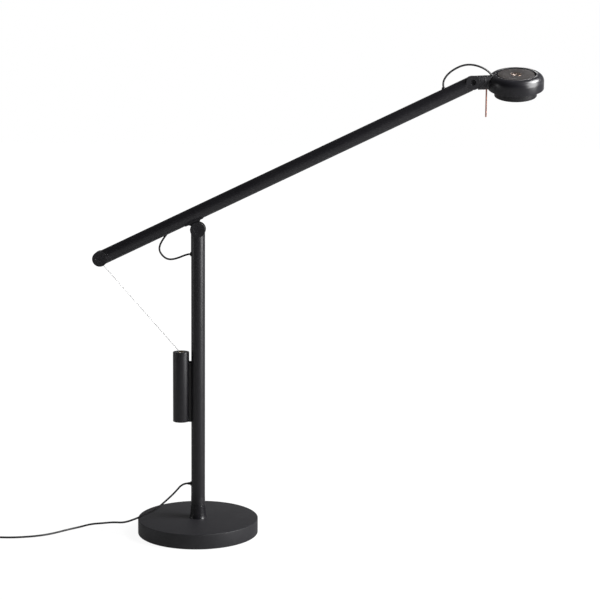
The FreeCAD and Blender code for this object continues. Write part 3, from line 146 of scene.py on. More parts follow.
def coil_place(quarter, ease=1.0):
    """Place and heading on the put-away coil, this many quarter turns from its start."""
    per_layer = COIL_QUARTERS + 2
    layer = min(int(quarter // per_layer), COIL_LAYERS - 1)
    into = quarter - layer * per_layer
    inward = 1 if layer % 2 == 0 else -1
    step = COIL_PITCH / 4
    begin = COIL_WIDE if inward == 1 else COIL_WIDE - step * COIL_QUARTERS
    lift = climb = 0.0
    if into <= COIL_QUARTERS or layer == COIL_LAYERS - 1:
        radius = begin - inward * step * into
        slope = -inward * step
    else:
        t = (into - COIL_QUARTERS) / 2
        radius = begin - inward * step * (COIL_QUARTERS + 2 * (t - t * t))
        slope = -inward * step * (1 - 2 * t)
        lift = COIL_PITCH * t * t * (3 - 2 * t)
        climb = COIL_PITCH * 3 * t * (1 - t)
    angle = math.pi / 2 * (1 + quarter)
    out = Vector((math.cos(angle), math.sin(angle), 0))
    round_way = Vector((-out.y, out.x, 0))
    place = COIL_CENTRE + Vector((0, 0, layer * COIL_PITCH + lift)) + out * radius * ease
    heading = out * slope + round_way * (radius * math.pi / 2) + Vector((0, 0, climb))
    return place, heading.normalized()


def supply_route():
    """The whole supply lead: over the base's rim, along the table, round the coil and up to the plug."""
    first, way_in = coil_place(0)
    last, way_out = coil_place(COIL_END)
    route = [Vector(p) for p in SUPPLY_ROUTE] + [first - way_in * 0.020, first - way_in * 0.003]
    # The spline runs inside the coil's control points, so these stand out by the same share.
    ease = 4 / (3 + math.cos(2 * math.pi / POINTS_PER_TURN))
    steps = COIL_END * POINTS_PER_TURN // 4
    route += [coil_place(4 * i / POINTS_PER_TURN, ease)[0] for i in range(1, steps)]
    route += [last, last + way_out * 0.012, PLUG_RELIEF_TIP - Vector((0, 0.009, 0)), PLUG_RELIEF_TIP]
    return route


# ------------------------ settings shown in the sidebar
def length(name, default, description):
    return FloatProperty(name=name, description=description, default=default, min=0, unit="LENGTH",
                         precision=4)


def level(name, default, description):
    return FloatProperty(name=name, description=description, default=default, min=0)


def colour(name, default, description):
    return FloatVectorProperty(name=name, description=description, default=default, size=3, min=0, max=1,
                               subtype="COLOR")


class BaseSizes(bpy.types.PropertyGroup):
    """Base and foot"""
    radius: length("Base radius", 0.095, "Radius of the round base")
    height: length("Base height", 0.024, "From the table to the base's top")
    wall: length("Cover wall", 0.002, "Thickness of the base's cover")
    edge: length("Edge rounding", 0.0008, "Rounding of the cover's upper edge")
    rim_lift: length("Rim lift", 0.0008, "Gap between the cover's rim and the table")
    pad_radius: length("Pad radius", 0.092, "Radius of the rubber pad under the base")
    pad_height: length("Pad height", 0.0025, "Thickness of the rubber pad")
    foot_radius: length("Foot radius", 0.0139, "Radius of the collar's flared foot")
    foot_top_radius: length("Foot top radius", 0.0115, "Radius of the collar's top")
    foot_top: length("Foot top", 0.0446, "Height of the collar's top")
    spigot_hole: length("Spigot hole", 0.0082, "Radius of the hole round the spigot")


class PostSizes(bpy.types.PropertyGroup):
    """Post, counterweight and neck ring"""
    sleeve_bore: length("Sleeve bore", 0.0095, "Bore of the swivel sleeve")
    sleeve_radius: length("Sleeve radius", 0.0111, "Outer radius of the swivel sleeve")
    sleeve_low: length("Sleeve bottom", 0.04515, "Height of the sleeve's lower edge")
    sleeve_high: length("Sleeve top", 0.05805, "Height of the sleeve's upper edge")
    weight_radius: length("Weight radius", 0.01275, "Radius of the counterweight")
    weight_low: length("Weight bottom", 0.180, "Height of the counterweight's lower face")
    weight_high: length("Weight top", 0.291, "Height of the counterweight's upper face")
    socket_radius: length("Socket radius", 0.0042, "Radius of the brass socket in the weight's top")
    socket_depth: length("Socket depth", 0.009, "Depth of the brass socket")
    ring_radius: length("Ring radius", 0.01095, "Radius of the neck's swivel ring")
    ring_start: length("Ring start", 0.0165, "From the hinge to the ring's near face")
    ring_width: length("Ring width", 0.0028, "Width of the swivel ring")
    axle_radius: length("Axle radius", 0.00405, "Hole in the swivel ring")


class HeadSizes(bpy.types.PropertyGroup):
    """Round lamp head, heights from its middle"""
    radius: length("Head radius", 0.04265, "Outer radius of the housing")
    top: length("Head top", 0.01175, "Height of the housing's top")
    drop: length("Head drop", 0.01075, "From the middle down to the housing's lower edge")
    wall: length("Wall", 0.0012, "Wall of the housing")
    shoulder: length("Shoulder", SHOULDER, "Radius of the rounded shoulder")
    well_radius: length("Well radius", 0.0303, "Radius of the well round the dial")
    well_floor: length("Well floor", 0.00755, "Height of the well's floor")
    dial_radius: length("Dial radius", 0.0282, "Radius of the dimmer dial")
    dial_low: length("Dial bottom", 0.00785, "Height of the dial's lower edge")
    dial_top: length("Dial top", 0.0113, "Height of the dial's face")
    button_well_radius: length("Button well radius", 0.0086, "Radius of the well round the button")
    button_well_floor: length("Button well floor", 0.0086, "Height of the button well's floor")
    button_radius: length("Button radius", 0.0083, "Radius of the push button")
    button_low: length("Button bottom", 0.0097, "Height of the button's underside")
    button_top: length("Button top", 0.0115, "Height of the button's rim")
    dish: length("Button dish", 0.0009, "Depth of the hollow in the button's face")
    lens_radius: length("Lens ring radius", 0.0324, "Outer radius of the ring below the housing")
    lens_wall: length("Lens ring wall", 0.002, "Wall of the lens ring")
    lens_drop: length("Lens ring drop", 0.0225, "From the middle down to the ring's lower edge")
    lip: length("Lens lip", 0.0015, "Width of the lip that holds the diffuser")
    lip_height: length("Lip height", 0.0006, "Thickness of that lip")
    diffuser_height: length("Diffuser thickness", 0.0012, "Thickness of the diffuser")


class LeadSizes(bpy.types.PropertyGroup):
    """Round low-voltage lead"""
    diameter: length("Lead diameter", 0.003, "Diameter of the lead")
    sides: IntProperty(name="Sides", description="Facets round the lead", default=14, min=6, max=48)
    steps: IntProperty(name="Steps", description="Rings between two points of the lead's route", default=7,
                       min=2, max=32)
    turned_steps: IntProperty(name="Turned facets", description="Facets round each turned piece",
                              default=160, min=24, max=512)


class FinishColours(bpy.types.PropertyGroup):
    """Colours of the finishes"""
    paint: colour("Paint", (0.0070, 0.0066, 0.0085), "Satin black paint of the tubes")
    powder: colour("Base paint", (0.0115, 0.0112, 0.0135), "Fine matt paint of the base")
    head: colour("Head paint", (0.0066, 0.0062, 0.0082), "Satin black paint of the head")
    worn: colour("Worn paint", (0.030, 0.029, 0.033), "Paint that handling has polished on edges")
    dial: colour("Dial", (0.018, 0.0170, 0.0178), "Grey face of the dimmer dial")
    dial_warm: colour("Dial, warm", (0.025, 0.0205, 0.0185), "Warmer patches of the dial's face")
    button: colour("Button", (0.42, 0.31, 0.25), "Dark bronze of the push button")
    copper: colour("Copper", (0.62, 0.26, 0.19), "Thin handle rod")
    steel: colour("Steel", (0.56, 0.56, 0.57), "Screws, spigot and wire")
    brass: colour("Brass", (0.66, 0.48, 0.22), "Socket in the counterweight")
    aluminium: colour("Aluminium", (0.70, 0.71, 0.72), "Heat sink")
    iron: colour("Cast iron", (0.085, 0.080, 0.078), "Ballast in the base")
    rubber: colour("Rubber", (0.0100, 0.0096, 0.0108), "Lead, grommets and pad")
    white: colour("White", (0.78, 0.78, 0.77), "Diffuser, reflector and board")
    chip: colour("Phosphor", (0.74, 0.56, 0.10), "Light-emitting chips")
    floor: colour("Floor", (0.80, 0.80, 0.80), "Pale studio floor")


class StudioSettings(bpy.types.PropertyGroup):
    """Camera and lamps"""
    camera_place: FloatVectorProperty(name="Camera place", description="Where the camera stands", size=3,
                                      default=(0.15887, -2.3246, 0.71406), subtype="TRANSLATION",
                                      unit="LENGTH", precision=4)
    camera_drop: FloatProperty(name="Camera tilt", description="How far the camera looks down",
                               default=math.radians(8.306), subtype="ANGLE", unit="ROTATION")
    camera_roll: FloatProperty(name="Camera roll", description="How far the camera leans over",
                               default=math.radians(0.5495), subtype="ANGLE", unit="ROTATION")
    focal_length: FloatProperty(name="Focal length", description="Camera's focal length in millimetres",
                                default=90.48, min=10, max=300)
    key_power: level("Side softbox", 52, "Watts of the large softbox on the right")
    high_power: level("High softbox", 28, "Watts of the softbox high on the right")
    back_power: level("Back lamp", 0.4, "Watts of the small lamp behind the head")
    rim_power: level("Left strip", 2.5, "Watts of the weak strip on the left")
    sky: level("Room light", 0.32, "Strength of the room's even light")
    room_back: level("Back in reflections", 0.62, "How bright the room's back is in glossy finishes")
    room_front: level("Front in reflections", 0.03, "How bright the room's front is in glossy finishes")
    floor_shine: level("Floor in reflections", 0.27, "How bright the floor is in glossy finishes")


SETTINGS = (("base", BaseSizes), ("post", PostSizes), ("head", HeadSizes), ("lead", LeadSizes),
            ("colours", FinishColours), ("studio", StudioSettings))


class DeskLamp(bpy.types.PropertyGroup):
    """All settings of the desk lamp"""
    __annotations__ = {name: PointerProperty(type=group, name=group.__doc__) for name, group in SETTINGS}


def settings():
    return bpy.context.scene.desk_lamp


# ------------------------ mesh making
def shown(name, shape, place=None):
    """Object made of a finished shape, shaded smooth except over its sharp edges, put in place."""
    mesh = bpy.data.meshes.new(name)
    shape.to_mesh(mesh)
    shape.free()
    mesh.polygons.foreach_set("use_smooth", [True] * len(mesh.polygons))
    mesh.set_sharp_from_angle(angle=math.radians(38))
    piece = bpy.data.objects.new(name, mesh)
    bpy.context.scene.collection.objects.link(piece)
    if place is not None:
        piece.matrix_world = place
    return piece


def eased(corners, steps=5):
    """Outline of a turned piece with its corners rounded; each corner is (radius, height, rounding)."""
    outline = []
    for i, (radius, height, rounding) in enumerate(corners):
        here = Vector((radius, height))
        if not rounding:
            outline.append(here)
            continue
        back = Vector(corners[i - 1][:2]) - here
        ahead = Vector(corners[(i + 1) % len(corners)][:2]) - here
        half = back.angle(ahead) / 2
        reach = min(rounding / math.tan(half), 0.48 * min(back.length, ahead.length))
        start, end = here + back.normalized() * reach, here + ahead.normalized() * reach
        centre = here + (back.normalized() + ahead.normalized()).normalized() * (reach / math.cos(half))
        turn = (start - centre).angle_signed(end - centre)
        for k in range(steps + 1):
            angle = -turn * k / steps
            arm = start - centre
            outline.append(centre + Vector((arm.x * math.cos(angle) - arm.y * math.sin(angle),
                                            arm.x * math.sin(angle) + arm.y * math.cos(angle))))
    return outline


def quarter(centre_radius, centre_height, radius, steps=16):
    """Points of a quarter round from the side up to the top, as corners without rounding."""
    turns = [math.pi / 2 * i / steps for i in range(steps + 1)]
    return [(centre_radius + radius * math.cos(a), centre_height + radius * math.sin(a), 0) for a in turns]


def groove(radius, start, end, depth):
    """Corners of a shallow groove with sloping flanks round a turned piece's side."""
    flank = math.copysign(0.0002, end - start)
    return [(radius, start, 0), (radius - depth, start + flank, 0), (radius - depth, end - flank, 0),
            (radius, end, 0)]


def turned(name, outline, place=None):
    """Piece turned on a lathe about its own Z axis, from a closed outline of (radius, height)."""
    facets = settings().lead.turned_steps
    shape = bmesh.new()
    rings = []
    for radius, height in outline:
        if radius < 1e-6:
            rings.append([shape.verts.new((0, 0, height))] * facets)
        else:
            rings.append([shape.verts.new((radius * math.cos(2 * math.pi * i / facets),
                                           radius * math.sin(2 * math.pi * i / facets), height))
                          for i in range(facets)])
    for ring, after in zip(rings, rings[1:] + rings[:1]):
        for i in range(facets):
            j = (i + 1) % facets
            corners = list(dict.fromkeys([ring[i], ring[j], after[j], after[i]]))
            if len(corners) > 2:
                shape.faces.new(corners)
    bmesh.ops.recalc_face_normals(shape, faces=shape.faces)
    return shown(name, shape, place)


def spline_points(route):
    """Points along the smooth spline that has the route's points as its control points."""
    line = bpy.data.curves.new("route", "CURVE")
    line.dimensions = "3D"
    spline = line.splines.new("NURBS")
    spline.points.add(len(route) - 1)
    for point, place in zip(spline.points, route):
        point.co = (*place, 1)
    spline.order_u = 3
    spline.use_endpoint_u = True
    spline.resolution_u = settings().lead.steps
    holder = bpy.data.objects.new("route", line)
    mesh = bpy.data.meshes.new_from_object(holder)
    points = [v.co.copy() for v in mesh.vertices]
    bpy.data.meshes.remove(mesh)
    bpy.data.objects.remove(holder)
    bpy.data.curves.remove(line)
    return points


def lead_tube(name, route):
    """Round lead along a route, as one closed tube; gives the piece and the points it follows."""
    points = spline_points(route)
    sizes = settings().lead
    radius, sides = sizes.diameter / 2, sizes.sides
    shape = bmesh.new()
    way = (points[1] - points[0]).normalized()
    side = way.orthogonal().normalized()
    rings = []
    for i, point in enumerate(points):
        ahead = points[min(i + 1, len(points) - 1)] - points[max(i - 1, 0)]
        turn = way.rotation_difference(ahead.normalized())
        side = (turn @ side).normalized()
        way = ahead.normalized()
        up = way.cross(side)
        rings.append([shape.verts.new(point + (side * math.cos(a) + up * math.sin(a)) * radius)
                      for a in (2 * math.pi * k / sides for k in range(sides))])
    for ring, after in zip(rings, rings[1:]):
        for k in range(sides):
            m = (k + 1) % sides
            shape.faces.new((ring[k], ring[m], after[m], after[k]))
    shape.faces.new(rings[0][::-1])
    shape.faces.new(rings[-1])
    bmesh.ops.recalc_face_normals(shape, faces=shape.faces)
    return shown(name, shape), points


def stands_for(piece, body, slot, *nodes):
    """Puts a new piece on its body, in the place and finish of the nodes that it stands for."""
    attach(piece, body)
    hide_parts(*nodes)
    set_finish(piece, slot)
    return piece


# ------------------------ node helpers
def effect(name, inputs, outputs):
    """Empty shader node group with its inputs and outputs; gives the tree and its two end nodes."""
    tree = bpy.data.node_groups.new(name, "ShaderNodeTree")
    for label, kind, value in inputs:
        entry = tree.interface.new_socket(name=label, in_out="INPUT", socket_type="NodeSocket" + kind)
        entry.default_value = value
    for label, kind in outputs:
        tree.interface.new_socket(name=label, in_out="OUTPUT", socket_type="NodeSocket" + kind)
    return tree, tree.nodes.new("NodeGroupInput"), tree.nodes.new("NodeGroupOutput")


def node(tree, kind, links=(), **values):
    """Node with its properties set; links go from an output socket to a named input."""
    made = tree.nodes.new("ShaderNode" + kind)
    for key, value in values.items():
        setattr(made, key, value)
    for name, source in links:
        tree.links.new(source, made.inputs[name])
    return made


def own_place(tree):
    """Place on the piece itself, so that a pattern moves with its piece."""
    return node(tree, "TexCoord").outputs["Object"]


def maths(tree, operation, first, second=None):
    """Math node; a number is set on its socket and an output is linked to it."""
    made = tree.nodes.new("ShaderNodeMath")
    made.operation = operation
    for entry, value in zip(made.inputs, (first, second)):
        if isinstance(value, (int, float)):
            entry.default_value = value
        elif value is not None:
            tree.links.new(value, entry)
    return made.outputs[0]


def spread(tree, value, low, high, to_low=0.0, to_high=1.0):
    """Value between low and high, stretched to a new range and held inside it."""
    made = node(tree, "MapRange", [("Value", value)])
    for name, number in (("From Min", low), ("From Max", high), ("To Min", to_low), ("To Max", to_high)):
        if isinstance(number, (int, float)):
            made.inputs[name].default_value = number
        else:
            tree.links.new(number, made.inputs[name])
    return made.outputs["Result"]


def noise(tree, place, scale, detail=2.0, roughness=0.5):
    made = node(tree, "TexNoise", [("Vector", place)])
    made.inputs["Detail"].default_value = detail
    made.inputs["Roughness"].default_value = roughness
    if isinstance(scale, (int, float)):
        made.inputs["Scale"].default_value = scale
    else:
        tree.links.new(scale, made.inputs["Scale"])
    return made.outputs["Fac"]


def blended(tree, factor, first, second):
    """Mix of two colours by a mask."""
    made = tree.nodes.new("ShaderNodeMix")
    made.data_type = "RGBA"
    for index, value in ((0, factor), (6, first), (7, second)):
        entry = made.inputs[index]
        if isinstance(value, bpy.types.NodeSocket):
            tree.links.new(value, entry)
        elif isinstance(value, (int, float)):
            entry.default_value = value
        else:
            entry.default_value = (*value, 1)
    return made.outputs[2]


# ------------------------ effects used by several finishes
def paint_grain():
    """Fine orange-peel and speckle of sprayed paint."""
    tree, given, out = effect("paint_grain", [("Scale", "Float", 1600.0), ("Coarse", "Float", 0.35)],
                              [("Height", "Float"), ("Speckle", "Float")])
    place = own_place(tree)
    fine = noise(tree, place, given.outputs["Scale"], 2.0, 0.6)
    wide = noise(tree, place, maths(tree, "MULTIPLY", given.outputs["Scale"], 0.22), 1.0)
    height = maths(tree, "ADD", fine, maths(tree, "MULTIPLY", wide, given.outputs["Coarse"]))
    tree.links.new(height, out.inputs["Height"])
    tree.links.new(spread(tree, fine, 0.56, 0.70), out.inputs["Speckle"])
    return tree


def handling_marks():
    """Soft patches where hands and dust change the sheen."""
    tree, given, out = effect("handling_marks", [("Scale", "Float", 26.0), ("Amount", "Float", 1.0)],
                              [("Mask", "Float")])
    place = own_place(tree)
    patches = spread(tree, noise(tree, place, given.outputs["Scale"], 3.0, 0.55), 0.40, 0.66)
    streaks = noise(tree, place, maths(tree, "MULTIPLY", given.outputs["Scale"], 9.0), 2.0)
    mask = maths(tree, "MULTIPLY", patches, spread(tree, streaks, 0.3, 0.7, 0.55, 1.0))
    tree.links.new(maths(tree, "MULTIPLY", mask, given.outputs["Amount"]), out.inputs["Mask"])
    return tree


def soft_edges():
    """Rounded look for crisp edges, and a mask of the polish along them."""
    tree, given, out = effect("soft_edges", [("Radius", "Float", 0.0004), ("Wear", "Float", 0.5)],
                              [("Normal", "Vector"), ("Mask", "Float")])
    bevel = node(tree, "Bevel", [("Radius", given.outputs["Radius"])], samples=4)
    flat = node(tree, "NewGeometry").outputs["Normal"]
    meet = node(tree, "VectorMath", operation="DOT_PRODUCT")
    tree.links.new(bevel.outputs["Normal"], meet.inputs[0])
    tree.links.new(flat, meet.inputs[1])
    bend = spread(tree, maths(tree, "SUBTRACT", 1.0, meet.outputs["Value"]), 0.015, 0.16)
    place = own_place(tree)
    patchy = spread(tree, noise(tree, place, 420.0, 3.0, 0.6), 0.38, 0.62, 0.25, 1.0)
    mask = maths(tree, "MULTIPLY", maths(tree, "MULTIPLY", bend, patchy), given.outputs["Wear"])
    tree.links.new(bevel.outputs["Normal"], out.inputs["Normal"])
    tree.links.new(mask, out.inputs["Mask"])
    return tree


def colour_mottle():
    """Two colours that drift into each other in small soft patches."""
    tree, given, out = effect("colour_mottle", [("Scale", "Float", 300.0),
                                                ("First", "Color", (0.1, 0.1, 0.1, 1)),
                                                ("Second", "Color", (0.2, 0.2, 0.2, 1))],
                              [("Colour", "Color"), ("Mask", "Float")])
    place = own_place(tree)
    mask = spread(tree, noise(tree, place, given.outputs["Scale"], 3.0, 0.6), 0.36, 0.64)
    tree.links.new(blended(tree, mask, given.outputs["First"], given.outputs["Second"]),
                   out.inputs["Colour"])
    tree.links.new(mask, out.inputs["Mask"])
    return tree


def lathe_lines():
    """Fine rings that turning leaves round a piece's own Z axis."""
    tree, given, out = effect("lathe_lines", [("Scale", "Float", 2400.0), ("Amount", "Float", 1.0)],
                              [("Height", "Float")])
    place = node(tree, "SeparateXYZ", [("Vector", own_place(tree))])
    x, y = place.outputs["X"], place.outputs["Y"]
    reach = maths(tree, "SQRT", maths(tree, "ADD", maths(tree, "MULTIPLY", x, x),
                                      maths(tree, "MULTIPLY", y, y)))
    ring = node(tree, "CombineXYZ", [("X", reach), ("Y", place.outputs["Z"])])
    lines = noise(tree, ring.outputs["Vector"], given.outputs["Scale"], 2.0, 0.65)
    tree.links.new(maths(tree, "MULTIPLY", lines, given.outputs["Amount"]), out.inputs["Height"])
    return tree


EFFECTS = (paint_grain, handling_marks, soft_edges, colour_mottle, lathe_lines)


def use(tree, name, **values):
    """One of the shared effects, placed in a material with its own values."""
    made = tree.nodes.new("ShaderNodeGroup")
    made.node_tree = bpy.data.node_groups[name]
    for key, value in values.items():
        made.inputs[key].default_value = (*value, 1) if hasattr(value, "__len__") else value
    return made.outputs


# ------------------------ finishes
PAINT_DEPTH = 0.00006
METAL_DEPTH = 0.00003
PLASTIC_DEPTH = 0.00008
JACKET_DEPTH = 0.00005
PRISM_DEPTH = 0.00015
SPECKLE_SHARE = 0.35
EDGE_POLISH = 0.12


def shaded(tint, share):
    """A colour made lighter or darker by this share."""
    return [min(1, c * share) for c in tint]


def finish(slot, roughness, metallic=0.0, ior=1.5, specular=0.5):
    """A slot's material, with a Principled shader whose even values are set on its sockets."""
    made = bpy.data.materials.new(slot + "_finish")
    made.use_nodes = True
    shader = made.node_tree.nodes["Principled BSDF"]
    for entry, value in (("Roughness", roughness), ("Metallic", metallic), ("IOR", ior),
                         ("Specular IOR Level", specular)):
        shader.inputs[entry].default_value = value
    return made, made.node_tree, shader


def surface(tree, shader, height, strength, depth, edge_normal=None):
    """Fine relief on the surface, on top of the softened edges."""
    bump = tree.nodes.new("ShaderNodeBump")
    bump.inputs["Strength"].default_value = strength
    bump.inputs["Distance"].default_value = depth
    tree.links.new(height, bump.inputs["Height"])
    if edge_normal is not None:
        tree.links.new(edge_normal, bump.inputs["Normal"])
    tree.links.new(bump.outputs["Normal"], shader.inputs["Normal"])


def painted(slot, tint, roughness, grain=1700.0, relief=0.25, wear=0.35, marks=0.07, specular=0.5):
    """Sprayed paint: fine grain, handling marks in its sheen and a little polish on its edges."""
    made, tree, shader = finish(slot, roughness, specular=specular)
    skin = use(tree, "paint_grain", Scale=grain)
    touched = use(tree, "handling_marks")
    edges = use(tree, "soft_edges", Wear=wear)
    speckled = blended(tree, maths(tree, "MULTIPLY", skin["Speckle"], SPECKLE_SHARE), tint,
                       shaded(tint, 1.8))
    worn = blended(tree, edges["Mask"], speckled, settings().colours.worn)
    tree.links.new(worn, shader.inputs["Base Color"])
    sheen = spread(tree, touched["Mask"], 0, 1, roughness, roughness - marks)
    polish = maths(tree, "MULTIPLY", edges["Mask"], EDGE_POLISH)
    tree.links.new(maths(tree, "SUBTRACT", sheen, polish), shader.inputs["Roughness"])
    surface(tree, shader, skin["Height"], relief, PAINT_DEPTH, edges["Normal"])
    return made


def metal(slot, tint, drift_to, roughness, marks=0.1, lathe=0.8):
    """Bare metal: slight colour drift, fingerprints in its gloss and fine tool lines."""
    made, tree, shader = finish(slot, roughness, metallic=1.0)
    drift = use(tree, "colour_mottle", Scale=160.0, First=tint, Second=shaded(tint, drift_to))
    touched = use(tree, "handling_marks", Scale=60.0)
    edges = use(tree, "soft_edges", Radius=0.00025)
    tree.links.new(drift["Colour"], shader.inputs["Base Color"])
    tree.links.new(spread(tree, touched["Mask"], 0, 1, roughness, roughness + marks),
                   shader.inputs["Roughness"])
    height = maths(tree, "ADD", use(tree, "lathe_lines", Amount=lathe)["Height"],
                   use(tree, "paint_grain", Scale=900.0)["Height"])
    surface(tree, shader, height, 0.2, METAL_DEPTH, edges["Normal"])
    return made


def moulded(slot, tint, roughness, relief=0.3, specular=0.5):
    """Moulded plastic or rubber: fine spark-eroded grain, faint flow and softened edges."""
    made, tree, shader = finish(slot, roughness, specular=specular)
    drift = use(tree, "colour_mottle", Scale=90.0, First=tint, Second=shaded(tint, 1.18))
    skin = use(tree, "paint_grain", Scale=1100.0, Coarse=0.6)
    touched = use(tree, "handling_marks", Scale=45.0)
    edges = use(tree, "soft_edges", Radius=0.00035)
    tree.links.new(drift["Colour"], shader.inputs["Base Color"])
    tree.links.new(spread(tree, touched["Mask"], 0, 1, roughness, roughness - 0.08),
                   shader.inputs["Roughness"])
    surface(tree, shader, skin["Height"], relief, PLASTIC_DEPTH, edges["Normal"])
    return made


def dial_face(slot):
    """Grey soft-touch face with warm and cool patches and faint rings."""
    tint = settings().colours
    made, tree, shader = finish(slot, 0.5, specular=0.33)
    drift = use(tree, "colour_mottle", Scale=420.0, First=tint.dial, Second=tint.dial_warm)
    skin = use(tree, "paint_grain", Scale=1500.0)
    edges = use(tree, "soft_edges", Radius=0.0003, Wear=0.5)
    tree.links.new(drift["Colour"], shader.inputs["Base Color"])
    tree.links.new(spread(tree, drift["Mask"], 0, 1, 0.46, 0.56), shader.inputs["Roughness"])
    rings = use(tree, "lathe_lines", Scale=3200.0, Amount=1.4)
    height = maths(tree, "ADD", skin["Height"], rings["Height"])
    surface(tree, shader, height, 0.3, PAINT_DEPTH, edges["Normal"])
    return made


def lead_jacket(slot):
    """Matt jacket of the lead, with faint scuffs."""
    tint = settings().colours.rubber
    made, tree, shader = finish(slot, 0.5)
    skin = use(tree, "paint_grain", Scale=1900.0, Coarse=0.8)
    scuffs = use(tree, "handling_marks", Scale=75.0)
    shade = blended(tree, scuffs["Mask"], tint, shaded(tint, 1.7))
    tree.links.new(shade, shader.inputs["Base Color"])
    tree.links.new(spread(tree, scuffs["Mask"], 0, 1, 0.44, 0.58), shader.inputs["Roughness"])
    surface(tree, shader, skin["Height"], 0.3, JACKET_DEPTH)
    return made


def opal(slot):
    """White diffusing plastic with a fine even prism grain."""
    tint = settings().colours.white
    made, tree, shader = finish(slot, 0.38, ior=1.49)
    drift = use(tree, "colour_mottle", Scale=60.0, First=tint, Second=shaded(tint, 0.965))
    tree.links.new(drift["Colour"], shader.inputs["Base Color"])
    cells = node(tree, "TexVoronoi", [("Vector", own_place(tree))])
    cells.inputs["Scale"].default_value = 900.0
    surface(tree, shader, cells.outputs["Distance"], 0.35, PRISM_DEPTH)
    return made


def all_finishes():
    """Every finish by the name of its slot."""
    tint = settings().colours
    made = [
        painted("base_black", tint.powder, 0.56, grain=1300.0, relief=0.45, wear=0.45, marks=0.06,
                specular=0.4),
        painted("tube_black", tint.paint, 0.40, wear=0.30),
        painted("joint_black", tint.paint, 0.44, relief=0.30, wear=0.50),
        painted("foot_black", tint.paint, 0.28, relief=0.15, wear=0.40, marks=0.05),
        painted("weight_black", tint.paint, 0.42, wear=0.45),
        painted("head_black", tint.head, 0.32, grain=1800.0, relief=0.20, wear=0.30, marks=0.05),
        dial_face("dial_grey"), lead_jacket("lead_rubber"), opal("diffuser_white"),
        moulded("plug_black", tint.rubber, 0.42, relief=0.4, specular=0.28),
        metal("button_dark", tint.button, 0.8, 0.20, marks=0.05, lathe=1.0)]
    made += [metal(*row) for row in (
        ("steel", tint.steel, 0.9, 0.30), ("brass", tint.brass, 0.86, 0.28),
        ("copper", tint.copper, 0.9, 0.27), ("pin_metal", tint.steel, 0.94, 0.2),
        ("sink_aluminium", tint.aluminium, 0.92, 0.38))]
    made += [moulded(*row) for row in (
        ("bolt_dark", tint.paint, 0.36, 0.2), ("iron", tint.iron, 0.72, 0.9),
        ("pad_rubber", tint.rubber, 0.8, 0.6), ("guide_plastic", tint.rubber, 0.45, 0.3),
        ("bush_plastic", tint.rubber, 0.40, 0.2), ("reflector_white", tint.white, 0.30, 0.1),
        ("board_white", tint.white, 0.45, 0.2), ("chip_yellow", tint.chip, 0.35, 0.2))]
    return {one.name.removesuffix("_finish"): one for one in made}


# ------------------------ operators
class LampOperator:
    bl_options = {"REGISTER", "UNDO"}

    def execute(self, context):
        self.make(context.scene.desk_lamp)
        return {"FINISHED"}


class LAMP_OT_camera(LampOperator, bpy.types.Operator):
    """Stand the camera at the photograph's angle"""
    bl_idname = "lamp.camera"
    bl_label = "Stand camera"

    def make(self, lamp):
        studio = lamp.studio
        drop, roll = studio.camera_drop, studio.camera_roll
        ahead = Vector((0, math.cos(drop), -math.sin(drop)))
        level_up = Vector((0, math.sin(drop), math.cos(drop)))
        right = Vector((1, 0, 0)) * math.cos(roll) + level_up * math.sin(roll)
        up = level_up * math.cos(roll) - Vector((1, 0, 0)) * math.sin(roll)
        view = bpy.data.cameras.new("photo_view")
        view.lens, view.sensor_width = studio.focal_length, 36
        view.clip_start, view.clip_end = 0.05, 60
        holder = bpy.data.objects.new("photo_view", view)
        bpy.context.scene.collection.objects.link(holder)
        holder.matrix_world = Matrix.Translation(studio.camera_place) @ Matrix(
            (right, up, -ahead)).transposed().to_4x4()
        bpy.context.scene.camera = holder


class LAMP_OT_supply_lead(LampOperator, bpy.types.Operator):
    """Lay the supply lead from the post over the base and along the table to its coil and plug"""
    bl_idname = "lamp.supply_lead"
    bl_label = "Lay supply lead"

    def make(self, lamp):
        piece, points = lead_tube("supply_lead", supply_route())
        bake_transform(piece)
        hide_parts("lead_drop", "lead_floor", "lead_coil", "lead_tail")
        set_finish(piece, "lead_rubber")


class LAMP_OT_short_leads(LampOperator, bpy.types.Operator):
    """Hang the short leads that bridge the arm's pivot and the head's hinge"""
    bl_idname = "lamp.short_leads"
    bl_label = "Hang short leads"

    def make(self, lamp):
        rear = HEAD_LOOP_ROUTE[:5] + [HEAD_LOOP_TOP]
        front = [HEAD_LOOP_TOP] + HEAD_LOOP_ROUTE[5:]
        for name, route, before, after in (("arm_loop_lead", ARM_LOOP_ROUTE, "post", "arm"),
                                           ("head_loop_rear_lead", rear, "arm", "neck"),
                                           ("head_loop_front_lead", front, "neck", "head")):
            piece, points = lead_tube(name, route)
            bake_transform(piece)
            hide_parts(name.removesuffix("_lead"))
            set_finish(piece, "lead_rubber")


